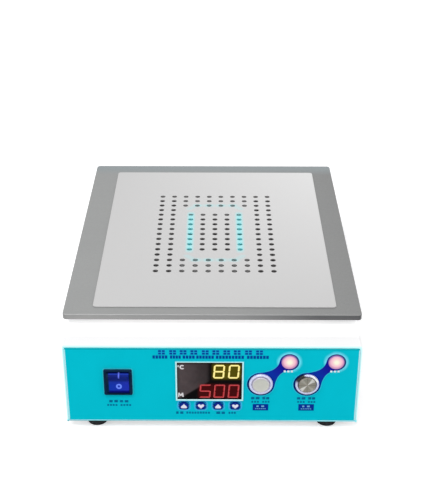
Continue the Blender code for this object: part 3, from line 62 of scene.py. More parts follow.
# Places, from the frame
PANEL_LOW, PANEL_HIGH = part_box("front_panel")
PANEL_Y = PANEL_LOW.y
TRAY_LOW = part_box("base_tray")[0]
PLATE_LOW, PLATE_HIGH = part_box("heating_plate")
MAT_LOW, MAT_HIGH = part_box("suction_mat")
WINDOW_LOW, WINDOW_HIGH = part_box("display_window")
BEZEL_LOW, BEZEL_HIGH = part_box("display_bezel")
SEAT_GAP = 0.0003
SEAT_Y = PANEL_Y - SEAT_GAP

# Sides of round pieces, in the frame and here, and the angle below which a piece is shaded smooth
CAD_SIDES = 16
TURNED_SIDES = 96
SMOOTH = 40

# Printed graphics: thin plates in layers on the panel
PRINT_LIFT = 0.00004
PRINT_THICKNESS = 0.00004

# Suction pattern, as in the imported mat, with columns counted from its middle
PATTERN_X = (MAT_LOW.x + MAT_HIGH.x) / 2
PATTERN_Y = (PLATE_LOW.y + PLATE_HIGH.y) / 2 - 0.0040
PITCH_X, PITCH_Y = 0.01314, 0.01136
COLUMNS, ROWS = 10, 16
HALF_COLUMNS, HALF_ROWS = (COLUMNS - 1) / 2, (ROWS - 1) / 2
FULL_ROWS = 3
INNER_COLUMNS = [-2.0, -1.0, 0.0, 1.0, 2.0]
HOLE_RADIUS = 0.0028
HOLE_SIDES = 24
MAT_CORNER = 0.0030
MAT_SOFT_EDGE = 0.00025

# Linear colours, and the strength of the white coat's painted glow
TEAL = (0.0006, 0.528, 0.652)
INK = (0.0010, 0.060, 0.330)
LABEL_INK = (0.0010, 0.150, 0.320)
WHITE_INK = (0.88, 0.90, 0.95)
PALE_INK = (0.17, 0.46, 0.72)
BLACK_PLASTIC = ((0.012, 0.014, 0.018), (0.022, 0.024, 0.028), 200.0)
DECK_GLOW = 0.58
EDGE_GLOW = 0.16

# Noise values between which a surface goes from one tone to the other
GRAIN = (0.35, 0.65)
WIDE_GRAIN = (0.3, 0.7)


# Materials


class Look:
    """A Principled material with helpers that add nodes to it."""

    def __init__(self, name, specular=0.5, **settings):
        self.material = bpy.data.materials.new(name)
        self.material.use_nodes = True
        self.tree = self.material.node_tree
        self.principled = self.tree.nodes["Principled BSDF"]
        self.principled.inputs["Specular IOR Level"].default_value = specular
        for socket, value in settings.items():
            self.principled.inputs[socket.replace("_", " ")].default_value = value

    def add(self, kind, **settings):
        node = self.tree.nodes.new(kind)
        for key, value in settings.items():
            setattr(node, key, value)
        return node

    def link(self, source, target):
        self.tree.links.new(source, target)

    def feed(self, sockets, values):
        """Gives each socket a number or a colour, or links it to another socket."""
        for socket, value in zip(sockets, values):
            if isinstance(value, bpy.types.NodeSocket):
                self.link(value, socket)
            else:
                socket.default_value = (*value, 1.0) if isinstance(value, tuple) else value

    def put(self, socket, source):
        self.link(source, self.principled.inputs[socket])

    def place(self):
        """Object coordinates, which are the row frame's for a piece at the origin."""
        return self.add("ShaderNodeTexCoord").outputs["Object"]

    def axes(self):
        split = self.add("ShaderNodeSeparateXYZ")
        self.link(self.place(), split.inputs[0])
        return split.outputs

    def math(self, operation, *values, clamp=False):
        node = self.add("ShaderNodeMath", operation=operation, use_clamp=clamp)
        self.feed(node.inputs, values)
        return node.outputs[0]

    def product(self, *values):
        total = values[0]
        for value in values[1:]:
            total = self.math("MULTIPLY", total, value)
        return total

    def off(self, value, centre):
        """How far a value is from a centre, either way."""
        return self.math("ABSOLUTE", self.math("SUBTRACT", value, centre))

    def length(self, u, v):
        return self.math("SQRT", self.math("ADD", self.product(u, u), self.product(v, v)))

    def noise(self, scale, detail=4.0, stretch=(1.0, 1.0, 1.0)):
        mapping = self.add("ShaderNodeMapping")
        mapping.inputs["Scale"].default_value = stretch
        self.link(self.place(), mapping.inputs[0])
        node = self.add("ShaderNodeTexNoise")
        node.inputs["Scale"].default_value = scale
        node.inputs["Detail"].default_value = detail
        node.inputs["Roughness"].default_value = 0.55
        self.link(mapping.outputs[0], node.inputs["Vector"])
        return node.outputs["Fac"]

    def spread(self, value, low, high, to_low=0.0, to_high=1.0, smooth=False):
        """The value from low to high, carried over to another range and held at its ends."""
        node = self.add("ShaderNodeMapRange")
        node.interpolation_type = "SMOOTHSTEP" if smooth else "LINEAR"
        self.feed(node.inputs, (value, low, high, to_low, to_high))
        return node.outputs[0]

    def ease(self, *ramp):
        """The same with soft ends."""
        return self.spread(*ramp, smooth=True)

    def below(self, value, low, high, smooth=False):
        """1 under the low value, falling to 0 at the high one."""
        return self.spread(value, low, high, 1.0, 0.0, smooth)

    def near(self, value, centre, inner, outer):
        """1 within the inner distance of a centre, falling to 0 at the outer distance."""
        return self.below(self.off(value, centre), inner, outer, smooth=True)

    def patch(self, u, v, centre, half, inner, outer):
        """1 over a rectangle and the inner distance round it, falling to 0 at the outer distance."""
        return self.product(*(self.near(value, middle, size + inner, size + outer)
            for value, middle, size in zip((u, v), centre, half)))

    def mix(self, share, first, second):
        node = self.add("ShaderNodeMix", data_type="RGBA")
        self.feed((node.inputs[0], *node.inputs[6:8]), (share, first, second))
        return node.outputs[2]

    def coats(self, base, *layers):
        """The base under layers, each a share and a colour."""
        for share, colour in layers:
            base = self.mix(share, base, colour)
        return base

    def tone(self, colour, other, scale):
        """A colour that wanders a little to another one."""
        return self.mix(self.spread(self.noise(scale), *GRAIN), colour, other)

    def rough(self, scale, low, high):
        self.put("Roughness", self.spread(self.noise(scale), *WIDE_GRAIN, low, high))

    def bump(self, height, strength, distance):
        node = self.add("ShaderNodeBump")
        sockets = [node.inputs[key] for key in ("Strength", "Distance", "Height")]
        self.feed(sockets, (strength, distance, height))
        self.put("Normal", node.outputs[0])

    def radial(self, centre):
        """Distance from an axis along Y through this (x, z), and the turn round it from -0.5 to 0.5."""
        x, _, z = self.axes()
        dx, dz = self.math("SUBTRACT", x, centre[0]), self.math("SUBTRACT", z, centre[1])
        return self.length(dx, dz), self.math("DIVIDE", self.math("ARCTAN2", dz, dx), 2 * math.pi)

    def finished(self, colour, rough, relief=None):
        """The material, once it has its colour, its uneven roughness and its fine relief."""
        self.put("Base Color", colour)
        self.rough(*rough)
        if relief:
            scale, strength, distance = relief
            self.bump(self.noise(scale, detail=2.0), strength, distance)
        return self.material


def tones(colour, change):
    return tuple(min(1.0, c * (1 + change)) for c in colour)


def plain(name, colour, other, scale, rough, relief=None, **settings):
    """A material of two close tones, with uneven roughness and fine relief."""
    look = Look(name, **settings)
    return look.finished(look.tone(colour, other, scale), (scale * 1.7, *rough), relief)


def powder_coat():
    """White, with painted cyan light (a faint glow) on the edges round the panel and the wall below it, a
    painted shadow along the tray's bottom edge, and a painted glow on the deck under the platform's front,
    in place of its shadow.
    """
    look = Look("white powder coat", specular=0.3)
    x, y, z = look.axes()
    # Painted cyan light: the edges round the panel and the wall below it are tinted cyan, and the edges
    # glow a little
    edge = look.below(y, PANEL_Y + 0.0020, PANEL_Y + 0.0032)
    wall = look.product(edge, look.below(z, PANEL_LOW.z, PANEL_LOW.z + 0.0003))
    # Painted shadow: a dark teal line along the tray's bottom edge, fading towards the right
    lip_shadow = look.product(edge, look.below(z, TRAY_LOW.z + 0.0009, TRAY_LOW.z + 0.0014),
        look.spread(x, 0.040, 0.130, 1.0, 0.2))
    tone = look.coats(look.tone((0.965, 0.965, 0.97), (0.95, 0.95, 0.96), 18.0),
        (edge, (0.66, 0.98, 0.98)), (wall, (0.26, 0.86, 0.94)), (lip_shadow, (0.016, 0.180, 0.205)))
    # Painted light: the deck just under the platform's front glows, in place of the platform's shadow
    painted_deck_light = look.product(look.near(y, PLATE_LOW.y + 0.004, 0.010, 0.024),
        look.spread(z, PLATE_LOW.z - 0.0080, PLATE_LOW.z - 0.0070))
    look.put("Emission Color", tone)
    look.put("Emission Strength",
        look.math("ADD", look.product(painted_deck_light, DECK_GLOW), look.product(edge, EDGE_GLOW)))
    return look.finished(tone, (30.0, 0.42, 0.52), (1800.0, 0.12, 0.00008))


def panel_overlay():
    """Turquoise, with painted shade: a darker line along its top edge, and a darker top face on that edge.
    """
    look = Look("turquoise panel", specular=0.015)
    _, _, z = look.axes()
    # Painted shade along the top edge and on its top face
    line = look.ease(z, PANEL_HIGH.z - 0.0018, PANEL_HIGH.z - 0.0006, 0.0, 0.6)
    ledge = look.spread(z, PANEL_HIGH.z - 0.00006, PANEL_HIGH.z - 0.00003)
    tone = look.coats(look.tone(TEAL, tones(TEAL, -0.03), 22.0),
        (line, (0.0006, 0.300, 0.350)), (ledge, (0.016, 0.430, 0.480)))
    return look.finished(tone, (260.0, 0.40, 0.50), (2600.0, 0.06, 0.00004))


def light_ring(look):
    """Share of cyan light round the inner block of holes: strong at its sides, faint at its ends."""
    x, y, _ = look.axes()
    reach_x, reach_y = look.off(x, PATTERN_X), look.off(y, PATTERN_Y)
    side = look.product(look.near(reach_x, 2 * PITCH_X, 0.0012, 0.0056),
        look.below(reach_y, 3.4 * PITCH_Y, 4.4 * PITCH_Y, smooth=True))
    cell = look.off(look.math("FRACT", look.math("DIVIDE", reach_x, PITCH_X)), 0.5)
    end = look.product(look.near(reach_y, 5.5 * PITCH_Y, 0.0008, 0.0052),
        look.below(reach_x, 1.7 * PITCH_X, 2.2 * PITCH_X, smooth=True),
        look.ease(cell, 0.12, 0.5, 0.62, 0.22))
    turn_x = look.math("SUBTRACT", reach_x, 1.55 * PITCH_X)
    turn_y = look.math("SUBTRACT", reach_y, 4.45 * PITCH_Y)
    corner = look.product(look.near(look.length(turn_x, turn_y), 0.0085, 0.0010, 0.0050),
        look.spread(turn_x, 0.0, 0.002), look.spread(turn_y, 0.0, 0.002), 0.30)
    return look.math("MAXIMUM", look.math("MAXIMUM", side, end), corner)


def hole_block(look, inner, outer):
    """1 over the block of holes and the inner distance round it, falling to 0 at the outer distance."""
    x, y, _ = look.axes()
    half = (HALF_COLUMNS * PITCH_X, HALF_ROWS * PITCH_Y)
    return look.patch(x, y, (PATTERN_X, PATTERN_Y), half, inner, outer)


def blasted_aluminium():
    """Grey plate with painted shade: darker towards the right, darker on its front face, and darker in the
    grooves under the mat, where painted cyan light from the ring also falls.
    """
    look = Look("bead-blasted aluminium", Metallic=0.20, specular=0.3)
    x, y, z = look.axes()
    grain = look.spread(look.noise(900.0, detail=3.0), *WIDE_GRAIN)
    streaks = look.spread(look.noise(30.0, stretch=(0.2, 1.0, 1.0)), *GRAIN)
    # Painted shade: the top darker towards the right
    face = look.mix(look.spread(x, PLATE_LOW.x, 0.0), (0.325, 0.330, 0.328), (0.316, 0.319, 0.317))
    face = look.coats(face, (look.spread(x, 0.0, PLATE_HIGH.x), (0.240, 0.242, 0.240)),
        (look.spread(y, MAT_HIGH.y - 0.004, MAT_HIGH.y + 0.012), (0.290, 0.325, 0.338)),
        (look.product(grain, 0.08), (0.55, 0.56, 0.56)),
        (look.product(streaks, 0.08), (0.22, 0.23, 0.235)))
    # Painted shade: the front face darker than the top, and darker still towards the right
    front = look.mix(look.spread(x, -0.14, 0.02), (0.300, 0.300, 0.297), (0.235, 0.236, 0.236))
    front = look.mix(look.spread(x, 0.02, 0.10), front, (0.096, 0.097, 0.100))
    on_front = look.product(look.below(y, PLATE_LOW.y + 0.0007, PLATE_LOW.y + 0.0009),
        look.below(z, PLATE_HIGH.z - 0.0006, PLATE_HIGH.z - 0.0005))
    # Painted shade in the grooves, with painted cyan light from the ring
    groove = look.product(look.below(z, PLATE_HIGH.z - 0.0011, PLATE_HIGH.z - 0.0004),
        hole_block(look, 0.004, 0.012))
    lit = look.mix(light_ring(look), (0.210, 0.200, 0.203), (0.40, 0.95, 0.98))
    return look.finished(look.coats(face, (on_front, front), (groove, lit)),
        (420.0, 0.42, 0.56), (3200.0, 0.10, 0.00005))


def suction_silicone():
    """Pale grey mat with painted cyan light on it, and painted shade: darker towards the front and, at the
    back, towards the left, and darker in its holes.
    """
    look = Look("pale grey silicone", specular=0.15)
    x, y, z = look.axes()
    # Painted shade: darker towards the front, and at the back darker towards the left
    back = look.mix(look.spread(x, MAT_LOW.x, MAT_HIGH.x), (0.648, 0.645, 0.645), (0.835, 0.832, 0.832))
    base = look.mix(look.spread(y, MAT_LOW.y, MAT_HIGH.y), (0.602, 0.599, 0.599), back)
    speckle = look.product(look.spread(look.noise(1400.0, detail=2.0), *GRAIN), 0.05)
    ring = light_ring(look)
    # Painted shade on the holes' walls, with painted cyan light where the ring falls
    hole_shade = look.product(look.below(z, MAT_HIGH.z - 0.0004, MAT_HIGH.z - 0.0001),
        hole_block(look, 0.003, 0.006))
    wall = look.mix(ring, (0.260, 0.245, 0.247), (0.360, 0.900, 0.940))
    base = look.coats(base, (speckle, (0.50, 0.50, 0.50)), (ring, (0.420, 0.850, 0.880)), (hole_shade, wall))
    return look.finished(base, (500.0, 0.52, 0.66), (2400.0, 0.10, 0.00006))


def ribbon_jacket():
    """Grey flat cable with fine ribs, one for each conductor."""
    look = Look("ribbon cable", specular=0.4)
    wave = look.add("ShaderNodeTexWave", bands_direction="X")
    wave.inputs["Scale"].default_value = 130.0
    look.link(look.place(), wave.inputs["Vector"])
    look.bump(wave.outputs["Fac"], 0.5, 0.0003)
    return look.finished(look.tone((0.36, 0.36, 0.37), (0.28, 0.28, 0.29), 300.0), (300.0, 0.5, 0.65))


def cross_head_steel():
    """Zinc plated screw heads, each with a dark cross in its middle: painted shade in the cross recess,
    which a bump presses in.
    """
    look = Look("cross-head steel", Metallic=1.0)
    _, y, z = look.axes()
    long, short, fade = 0.0014, 0.00028, 0.0001
    # Painted shade: a dark cross in each head, pressed in by a bump
    cross = 0.0
    for name in ("cover_screw_1", "cover_screw_3"):
        low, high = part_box(name)
        across, up = look.off(y, (low.y + high.y) / 2), look.off(z, (low.z + high.z) / 2)
        for wide, tall in ((long, short), (short, long)):
            arm = look.product(look.below(across, wide, wide + fade), look.below(up, tall, tall + fade))
            cross = look.math("MAXIMUM", cross, arm)
    look.bump(cross, 1.0, -0.0003)
    tone = look.tone((0.66, 0.66, 0.64), (0.54, 0.55, 0.56), 260.0)
    return look.finished(look.mix(cross, tone, (0.02, 0.02, 0.02)), (500.0, 0.22, 0.38))


def bezel_plastic():
    """Pale cyan plastic that goes over to the panel's colour at its outer edge."""
    look = Look("pale bezel plastic", specular=0.05)
    x, _, z = look.axes()
    across, up = (BEZEL_LOW.x + BEZEL_HIGH.x) / 2, (BEZEL_LOW.z + BEZEL_HIGH.z) / 2
    half_x, half_z = BEZEL_HIGH.x - across, BEZEL_HIGH.z - up
    rim = look.math("MAXIMUM", look.spread(look.off(x, across), half_x - 0.0006, half_x - 0.0002),
        look.spread(look.off(z, up), half_z - 0.0009, half_z - 0.0004))
    tone = look.tone((0.640, 0.940, 0.955), (0.560, 0.900, 0.920), 120.0)
    return look.finished(look.mix(rim, tone, (0.05, 0.60, 0.70)), (420.0, 0.34, 0.46))


# Plain materials are given as two tones, their noise's scale, the range of roughness and the relief
SLOT_MATERIALS = {
    "white_coat": powder_coat(),
    "teal_panel": panel_overlay(),
    "plate_aluminium": blasted_aluminium(),
    "mat_silicone": suction_silicone(),
    "heater_silicone": plain("heater silicone", (0.60, 0.14, 0.05), (0.52, 0.11, 0.04), 90.0, (0.55, 0.72),
        (1500.0, 0.2, 0.0001), specular=0.3),
    "fibre": plain("insulating fibre", (0.80, 0.78, 0.71), (0.70, 0.68, 0.61), 260.0, (0.80, 0.95),
        (900.0, 0.4, 0.0002), specular=0.2),
    "bakelite": plain("bakelite", (0.085, 0.050, 0.030), (0.055, 0.034, 0.022), 180.0, (0.35, 0.50),
        (900.0, 0.1, 0.0001)),
    "foot_rubber": plain("black rubber", (0.010, 0.010, 0.012), (0.020, 0.020, 0.022), 240.0, (0.62, 0.80),
        (1600.0, 0.25, 0.0001), specular=0.25),
    "zinc_steel": plain("zinc plated steel", (0.62, 0.62, 0.60), (0.50, 0.51, 0.52), 260.0, (0.25, 0.42),
        (2200.0, 0.12, 0.00005), Metallic=1.0),
    "nickel": plain("nickel plate", (0.70, 0.69, 0.66), (0.62, 0.61, 0.59), 300.0, (0.15, 0.28),
        Metallic=1.0),
    "black_plastic": plain("black plastic", *BLACK_PLASTIC, (0.38, 0.52), (2600.0, 0.15, 0.00006),
        specular=0.4),
    "pale_bezel": bezel_plastic(),
    "circuit_board": plain("circuit board", (0.010, 0.130, 0.050), (0.012, 0.090, 0.035), 500.0,
        (0.35, 0.55)),
    "ribbon": ribbon_jacket(),
    "hose": plain("hose", (0.56, 0.56, 0.51), (0.50, 0.50, 0.44), 60.0, (0.35, 0.50)),
}


def dress(node, material):
    node.data.materials.clear()
    node.data.materials.append(material)


slot_of = {row["node"]: row["material_slot"] for row in frame["record"]["subparts"]}
for name, node in nodes.items():
    if slot_of[name] in SLOT_MATERIALS:
        dress(node, SLOT_MATERIALS[slot_of[name]])
dress(nodes["heat_sink"], plain("heat sink aluminium", (0.50, 0.51, 0.52), (0.42, 0.43, 0.44), 60.0,
    (0.32, 0.48), Metallic=1.0))
cross_head = cross_head_steel()
for k in range(1, 5):
    dress(nodes[f"cover_screw_{k}"], cross_head)


# Meshes


def new_piece(name, bm, material, body="root", slot=None, replaces=(), smooth=None):
    """Makes the object, hangs it on its body's empty and hides the CAD nodes that it stands for."""
    bmesh.ops.recalc_face_normals(bm, faces=bm.faces)
    mesh = bpy.data.meshes.new(name)
    bm.to_mesh(mesh)
    bm.free()
    if smooth is not None:
        mesh.shade_smooth()
        mesh.set_sharp_from_angle(angle=math.radians(smooth))
    mesh.materials.append(material)
    piece = bpy.data.objects.new(name, mesh)
    bpy.context.scene.collection.objects.link(piece)
    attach(piece, body)
    if replaces:
        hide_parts(*replaces)
    return piece


def arc(centre, radius, start, end, steps):
    u, v = centre
    angles = [math.radians(start + (end - start) * k / steps) for k in range(steps + 1)]
    return [(u + radius * math.cos(a), v + radius * math.sin(a)) for a in angles]


def ring_points(centre, radius, sides):
    return arc(centre, radius, 0, 360, sides)[:-1]


def rectangle(u0, v0, u1, v1):
    return [(u0, v0), (u1, v0), (u1, v1), (u0, v1)]


def rounded(u0, v0, u1, v1, radius, steps=5):
    corners = ((u1 - radius, v1 - radius, 0), (u0 + radius, v1 - radius, 90),
        (u0 + radius, v0 + radius, 180), (u1 - radius, v0 + radius, 270))
    return [point for u, v, start in corners for point in arc((u, v), radius, start, start + 90, steps)]


def squircle(centre, half_u, half_v, power=3.2, sides=48):
    """A superellipse, between an oval and a rectangle."""
    points = []
    for k in range(sides):
        a = 2 * math.pi * k / sides
        c, s = math.cos(a), math.sin(a)
        points.append((centre[0] + half_u * math.copysign(abs(c) ** (2 / power), c),
            centre[1] + half_v * math.copysign(abs(s) ** (2 / power), s)))
    return points


def on_panel(points, y):
    return [(u, y, v) for u, v in points]


def on_floor(points, z):
    return [(u, v, z) for u, v in points]


def bridge(bm, loops, closed=False, capped=False):
    """Skins loops that have the same number of points, one after another."""
    rings = [[bm.verts.new(p) for p in loop] for loop in loops]
    for low, high in zip(rings, rings[1:] + (rings[:1] if closed else [])):
        for k in range(len(low)):
            after = (k + 1) % len(low)
            bm.faces.new((low[k], low[after], high[after], high[k]))
    if capped:
        bm.faces.new(rings[0])
        bm.faces.new(rings[-1][::-1])
    return rings


def skin(name, loops, material, closed=False, capped=False, **rest):
    """A piece whose surface runs through loops."""
    bm = bmesh.new()
    bridge(bm, loops, closed, capped)
    return new_piece(name, bm, material, **rest)


def rings_at(centre, profile):
    """Rings about an axis along Y, one for each (radius, y) of a profile."""
    return [on_panel(ring_points(centre, radius, TURNED_SIDES), y) for radius, y in profile]


def turned(name, profile, centre, material, **rest):
    """Turned about an axis along Y. The profile is (radius, y), and its radius is 0 at both ends."""
    bm = bmesh.new()
    rings = bridge(bm, rings_at(centre, profile[1:-1]))
    for (_, y), ring in ((profile[0], rings[0]), (profile[-1], rings[-1])):
        tip = bm.verts.new((centre[0], y, centre[1]))
        for k in range(TURNED_SIDES):
            bm.faces.new((tip, ring[k], ring[(k + 1) % TURNED_SIDES]))
    return new_piece(name, bm, material, **rest)


def prints(name, outlines, material, layer=0, rings=(), body="root", face=PANEL_Y):
    """Ink as thin plates in front of a face. A higher layer lies over a lower one."""
    bm = bmesh.new()
    back = face - PRINT_LIFT - layer * (PRINT_LIFT + PRINT_THICKNESS)
    front = back - PRINT_THICKNESS
    for outline in outlines:
        bridge(bm, [on_panel(outline, front), on_panel(outline, back)], capped=True)
    for outer, inner in rings:
        sides = ((outer, front), (inner, front), (inner, back), (outer, back))
        bridge(bm, [on_panel(*side) for side in sides], closed=True)
    return new_piece(name, bm, material, body)


def ink(name, colour, other=None):
    return plain(name, colour, other or tones(colour, -0.12), 160.0, (0.42, 0.52), specular=0.02)


def middle_of(node):
    low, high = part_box(node)
    return ((low.x + high.x) / 2, (low.z + high.z) / 2)


def turned_radius(node):
    """The radius of a round CAD piece, whose flats stand at its box's sides."""
    low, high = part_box(node)
    return (high.x - low.x) / 2 / math.cos(math.pi / CAD_SIDES)


def shifted(outlines, u, v):
    return [[(x + u, z + v) for x, z in outline] for outline in outlines]


def blocks(z0, z1, *spans):
    """Rectangles between two heights, in millimetres."""
    return [rectangle(x0 / 1000, z0 / 1000, x1 / 1000, z1 / 1000) for x0, x1 in spans]


def dashes(z0, z1, *spans, pitch=2.6, filled=0.66):
    """Each span as a row of small blocks, in millimetres."""
    cells = []
    for x0, x1 in spans:
        count = max(1, round((x1 - x0) / pitch))
        step = (x1 - x0) / count
        cells += [(x0 + k * step + step * (1 - filled) / 2, x0 + (k + 1) * step - step * (1 - filled) / 2)
            for k in range(count)]
    return blocks(z0, z1, *cells)


# Mat and feet, finer than the CAD's

FOOT_SIDES = 48
FOOT_TAPER = 0.0005
FOOT_SOFT_EDGE = 0.0004
FOOT_BORE = 0.0023
FOOT_POCKET = 0.0041
FOOT_POCKET_DEPTH = 0.0030


def suction_points():
    outer = [k - HALF_COLUMNS for k in range(COLUMNS)]
    sides = outer[:2] + outer[-2:]
    points = []
    for row in range(ROWS):
        from_edge = min(row, ROWS - 1 - row)
        columns = outer if from_edge < FULL_ROWS else sides
        if from_edge > FULL_ROWS:
            columns = sides + INNER_COLUMNS
        y = PATTERN_Y + (row - HALF_ROWS) * PITCH_Y
        points += [(PATTERN_X + column * PITCH_X, y) for column in columns]
    return points


def make_mat():
    """The mat with round holes and a softened edge."""
    def outline(margin):
        return rounded(MAT_LOW.x + margin, MAT_LOW.y + margin, MAT_HIGH.x - margin, MAT_HIGH.y - margin,
            MAT_CORNER - margin)

    bm = bmesh.new()
    levels = ((0.0, MAT_LOW.z), (0.0, MAT_HIGH.z - MAT_SOFT_EDGE), (MAT_SOFT_EDGE, MAT_HIGH.z))
    walls = [bridge(bm, [on_floor(outline(margin), z) for margin, z in levels])]
    for place in suction_points():
        hole = ring_points(place, HOLE_RADIUS, HOLE_SIDES)
        walls.append(bridge(bm, [on_floor(hole, MAT_LOW.z), on_floor(hole, MAT_HIGH.z)]))
    for end in (0, -1):
        rings = [wall[end] for wall in walls]
        edges = [bm.edges.get((ring[k - 1], ring[k])) for ring in rings for k in range(len(ring))]
        bmesh.ops.triangle_fill(bm, use_beauty=True, use_dissolve=False, edges=edges,
            normal=(0.0, 0.0, 1.0))
    new_piece("mat_sheet", bm, SLOT_MATERIALS["mat_silicone"], slot="mat_silicone",
        replaces=["suction_mat"])


def make_foot(node):
    """A turned rubber foot: a taper with soft edges, a bore for the screw and a pocket for its head."""
    low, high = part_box(node)
    centre = ((low.x + high.x) / 2, (low.y + high.y) / 2)
    top, soft = turned_radius(node), FOOT_SOFT_EDGE
    bottom, shelf = top - FOOT_TAPER, low.z + FOOT_POCKET_DEPTH
    profile = [(bottom - soft, low.z), (bottom - soft * 0.3, low.z + soft * 0.3), (bottom, low.z + soft),
        (top, high.z - soft / 2), (top - soft / 2, high.z), (FOOT_BORE, high.z),
        (FOOT_BORE, shelf), (FOOT_POCKET, shelf), (FOOT_POCKET, low.z)]
    skin(f"{node}_rubber", [on_floor(ring_points(centre, radius, FOOT_SIDES), z) for radius, z in profile],
        SLOT_MATERIALS["foot_rubber"], closed=True, slot="foot_rubber", replaces=[node], smooth=SMOOTH)


make_mat()
for k in range(1, 5):
    make_foot(f"foot_{k}")


# Push buttons and lamps: radii, and lengths along Y from the panel inwards

BUTTON_BUSH = 0.0095
BUTTON_SOFT_EDGE = 0.0009
BUTTON_BORE_GAP = 0.0004
BUTTON_STEM = 0.0040
CAP_SOFT_EDGE = 0.0005
CAP_STEM_GAP = 0.0008
CAP_DISH = 0.00025
CAP_FACE = ((0.35, 0.6), (0.74, 1.0), (0.80, 1 / 3), (0.83, 0.0))
LAMP_STEM = 0.0060
LAMP_LEAD = 0.0030
LAMP_STEM_END = PANEL_Y + 0.0180
LAMP_GLOW_LIFT = 0.0009

# Print round them. The neck leaves the button's round and meets the lamp's at these angles
RING_PRINT = 0.01275
LAMP_PRINT = 0.0090
NECK_HALF_WIDTH = 0.0034
NECK_LEAVE, NECK_MEET = 52, 128
NECK_GLOW = 0.0008
PRINT_DROP = 0.0006


def ring_metal(name, centre, pale):
    """The button's bright ring: nearly white on one, and with dark and bright quarters, painted
    reflections, on the other. Both carry painted shade at the inner edge.
    """
    look = Look(name, Metallic=0.25 if pale else 0.55)
    distance, turn = look.radial(centre)
    # Painted shade at the inner edge; on the second ring, a dark and a bright quarter are painted
    # reflections
    layers = [(look.spread(distance, 0.0084, 0.0090, 0.75, 0.0), (0.42, 0.33, 0.50))] if pale else [
        (look.near(turn, 0.365, 0.055, 0.115), (0.030, 0.028, 0.030)),
        (look.near(turn, 0.12, 0.05, 0.10), (0.98, 0.98, 0.98)),
        (look.spread(distance, 0.0086, 0.0094, 0.6, 0.0), (0.16, 0.15, 0.17)),
    ]
    base = look.tone((0.66, 0.66, 0.90), (0.72, 0.72, 0.93), 300.0)
    return look.finished(look.coats(base, *layers), (500.0, 0.22, 0.34))


def cap_metal(name, centre, pale):
    """The button's cap: a fine spin of circles on one, and bright and dark wedges, painted reflections, on
    the other.
    """
    look = Look(name, Metallic=0.2 if pale else 0.45)
    distance, turn = look.radial(centre)
    circles = look.math("SINE", look.product(distance, 9000.0))
    share = look.spread(circles, -1.0, 1.0)
    if pale:
        base = look.mix(share, (0.610, 0.590, 0.545), (0.590, 0.600, 0.530))
        rim = look.ease(distance, 0.0066, 0.0078, 0.0, 0.8)
        base = look.mix(rim, base, (0.60, 0.56, 0.66))
    else:
        # Painted reflections: bright and dark wedges
        wedge = look.math("COSINE", look.product(look.math("SUBTRACT", turn, 0.125), 4 * math.pi))
        base = look.mix(share, (0.300, 0.270, 0.225), (0.240, 0.235, 0.190))
        base = look.coats(
            base, (look.ease(wedge, 0.80, 0.97, 0.0, 0.75), (0.80, 0.78, 0.74)),
            (look.ease(wedge, -0.97, -0.80, 0.30, 0.0), (0.60, 0.56, 0.50)),
            (look.product(look.near(wedge, 0.0, 0.0, 0.25), 0.45), (0.085, 0.075, 0.070)))
    look.bump(circles, 0.10, 0.00003)
    return look.finished(base, (600.0, 0.28, 0.42))


def lamp_lens(name, centre):
    """A lit lens, cream in the middle and pink towards its rim."""
    look = Look(name, Roughness=0.25, Emission_Strength=0.72)
    distance, _ = look.radial((centre[0], centre[1] + LAMP_GLOW_LIFT))
    from_axis, _ = look.radial(centre)
    glow = look.mix(look.ease(distance, 0.0010, 0.0048), (1.0, 0.97, 0.74), (0.98, 0.54, 0.64))
    glow = look.coats(glow, (look.ease(distance, 0.0044, 0.0070), (0.62, 0.24, 0.46)),
        (look.ease(from_axis, 0.0066, 0.0073), (0.24, 0.11, 0.38)))
    look.put("Emission Color", glow)
    look.put("Base Color", look.mix(0.80, glow, (0.04, 0.04, 0.05)))
    look.bump(look.math("SINE", look.product(distance, 7000.0)), 0.15, 0.0001)
    return look.material


def quarter_round(radius, level, soft):
    """(radius, y) points round a soft front edge, from the face out to the side."""
    angles = [math.radians(d) for d in (0, 22, 45, 68, 90)]
    return [(radius - soft * (1 - math.sin(a)), level + soft * (1 - math.cos(a))) for a in angles]


def make_button(name):
    body, cap = f"{name}_button_body", f"{name}_button_cap"
    centre = middle_of(body)
    (low, high), (cap_low, cap_high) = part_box(body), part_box(cap)
    radius, cap_radius = turned_radius(body), turned_radius(cap)
    bore = cap_radius + BUTTON_BORE_GAP
    floor = high.y - BUTTON_STEM
    pale = name == "heat"
    rim = [(BUTTON_BUSH, SEAT_Y), (radius, SEAT_Y), *quarter_round(radius, low.y, BUTTON_SOFT_EDGE)[::-1],
        (bore + 0.0006, low.y), (bore, low.y + 0.0005), (bore, floor), (bore / 2, floor),
        (bore / 2, high.y), (BUTTON_BUSH, high.y)]
    skin(f"{name}_ring", rings_at(centre, rim),
        ring_metal(f"{name} button ring", centre, pale), closed=True, slot="nickel", replaces=[body],
        smooth=SMOOTH)

    top, shoulder, stem = cap_low.y, cap_high.y - BUTTON_STEM, bore / 2 - CAP_STEM_GAP
    profile = [(0, top + CAP_DISH / 2),
        *((cap_radius * out, top + CAP_DISH * deep) for out, deep in CAP_FACE),
        *quarter_round(cap_radius, top, CAP_SOFT_EDGE), (cap_radius, shoulder), (stem, shoulder),
        (stem, cap_high.y), (0, cap_high.y)]
    turned(f"{name}_cap_face", profile, centre, cap_metal(f"{name} button cap", centre, pale),
        body=f"{name}_cap", slot="nickel", replaces=[cap], smooth=SMOOTH)


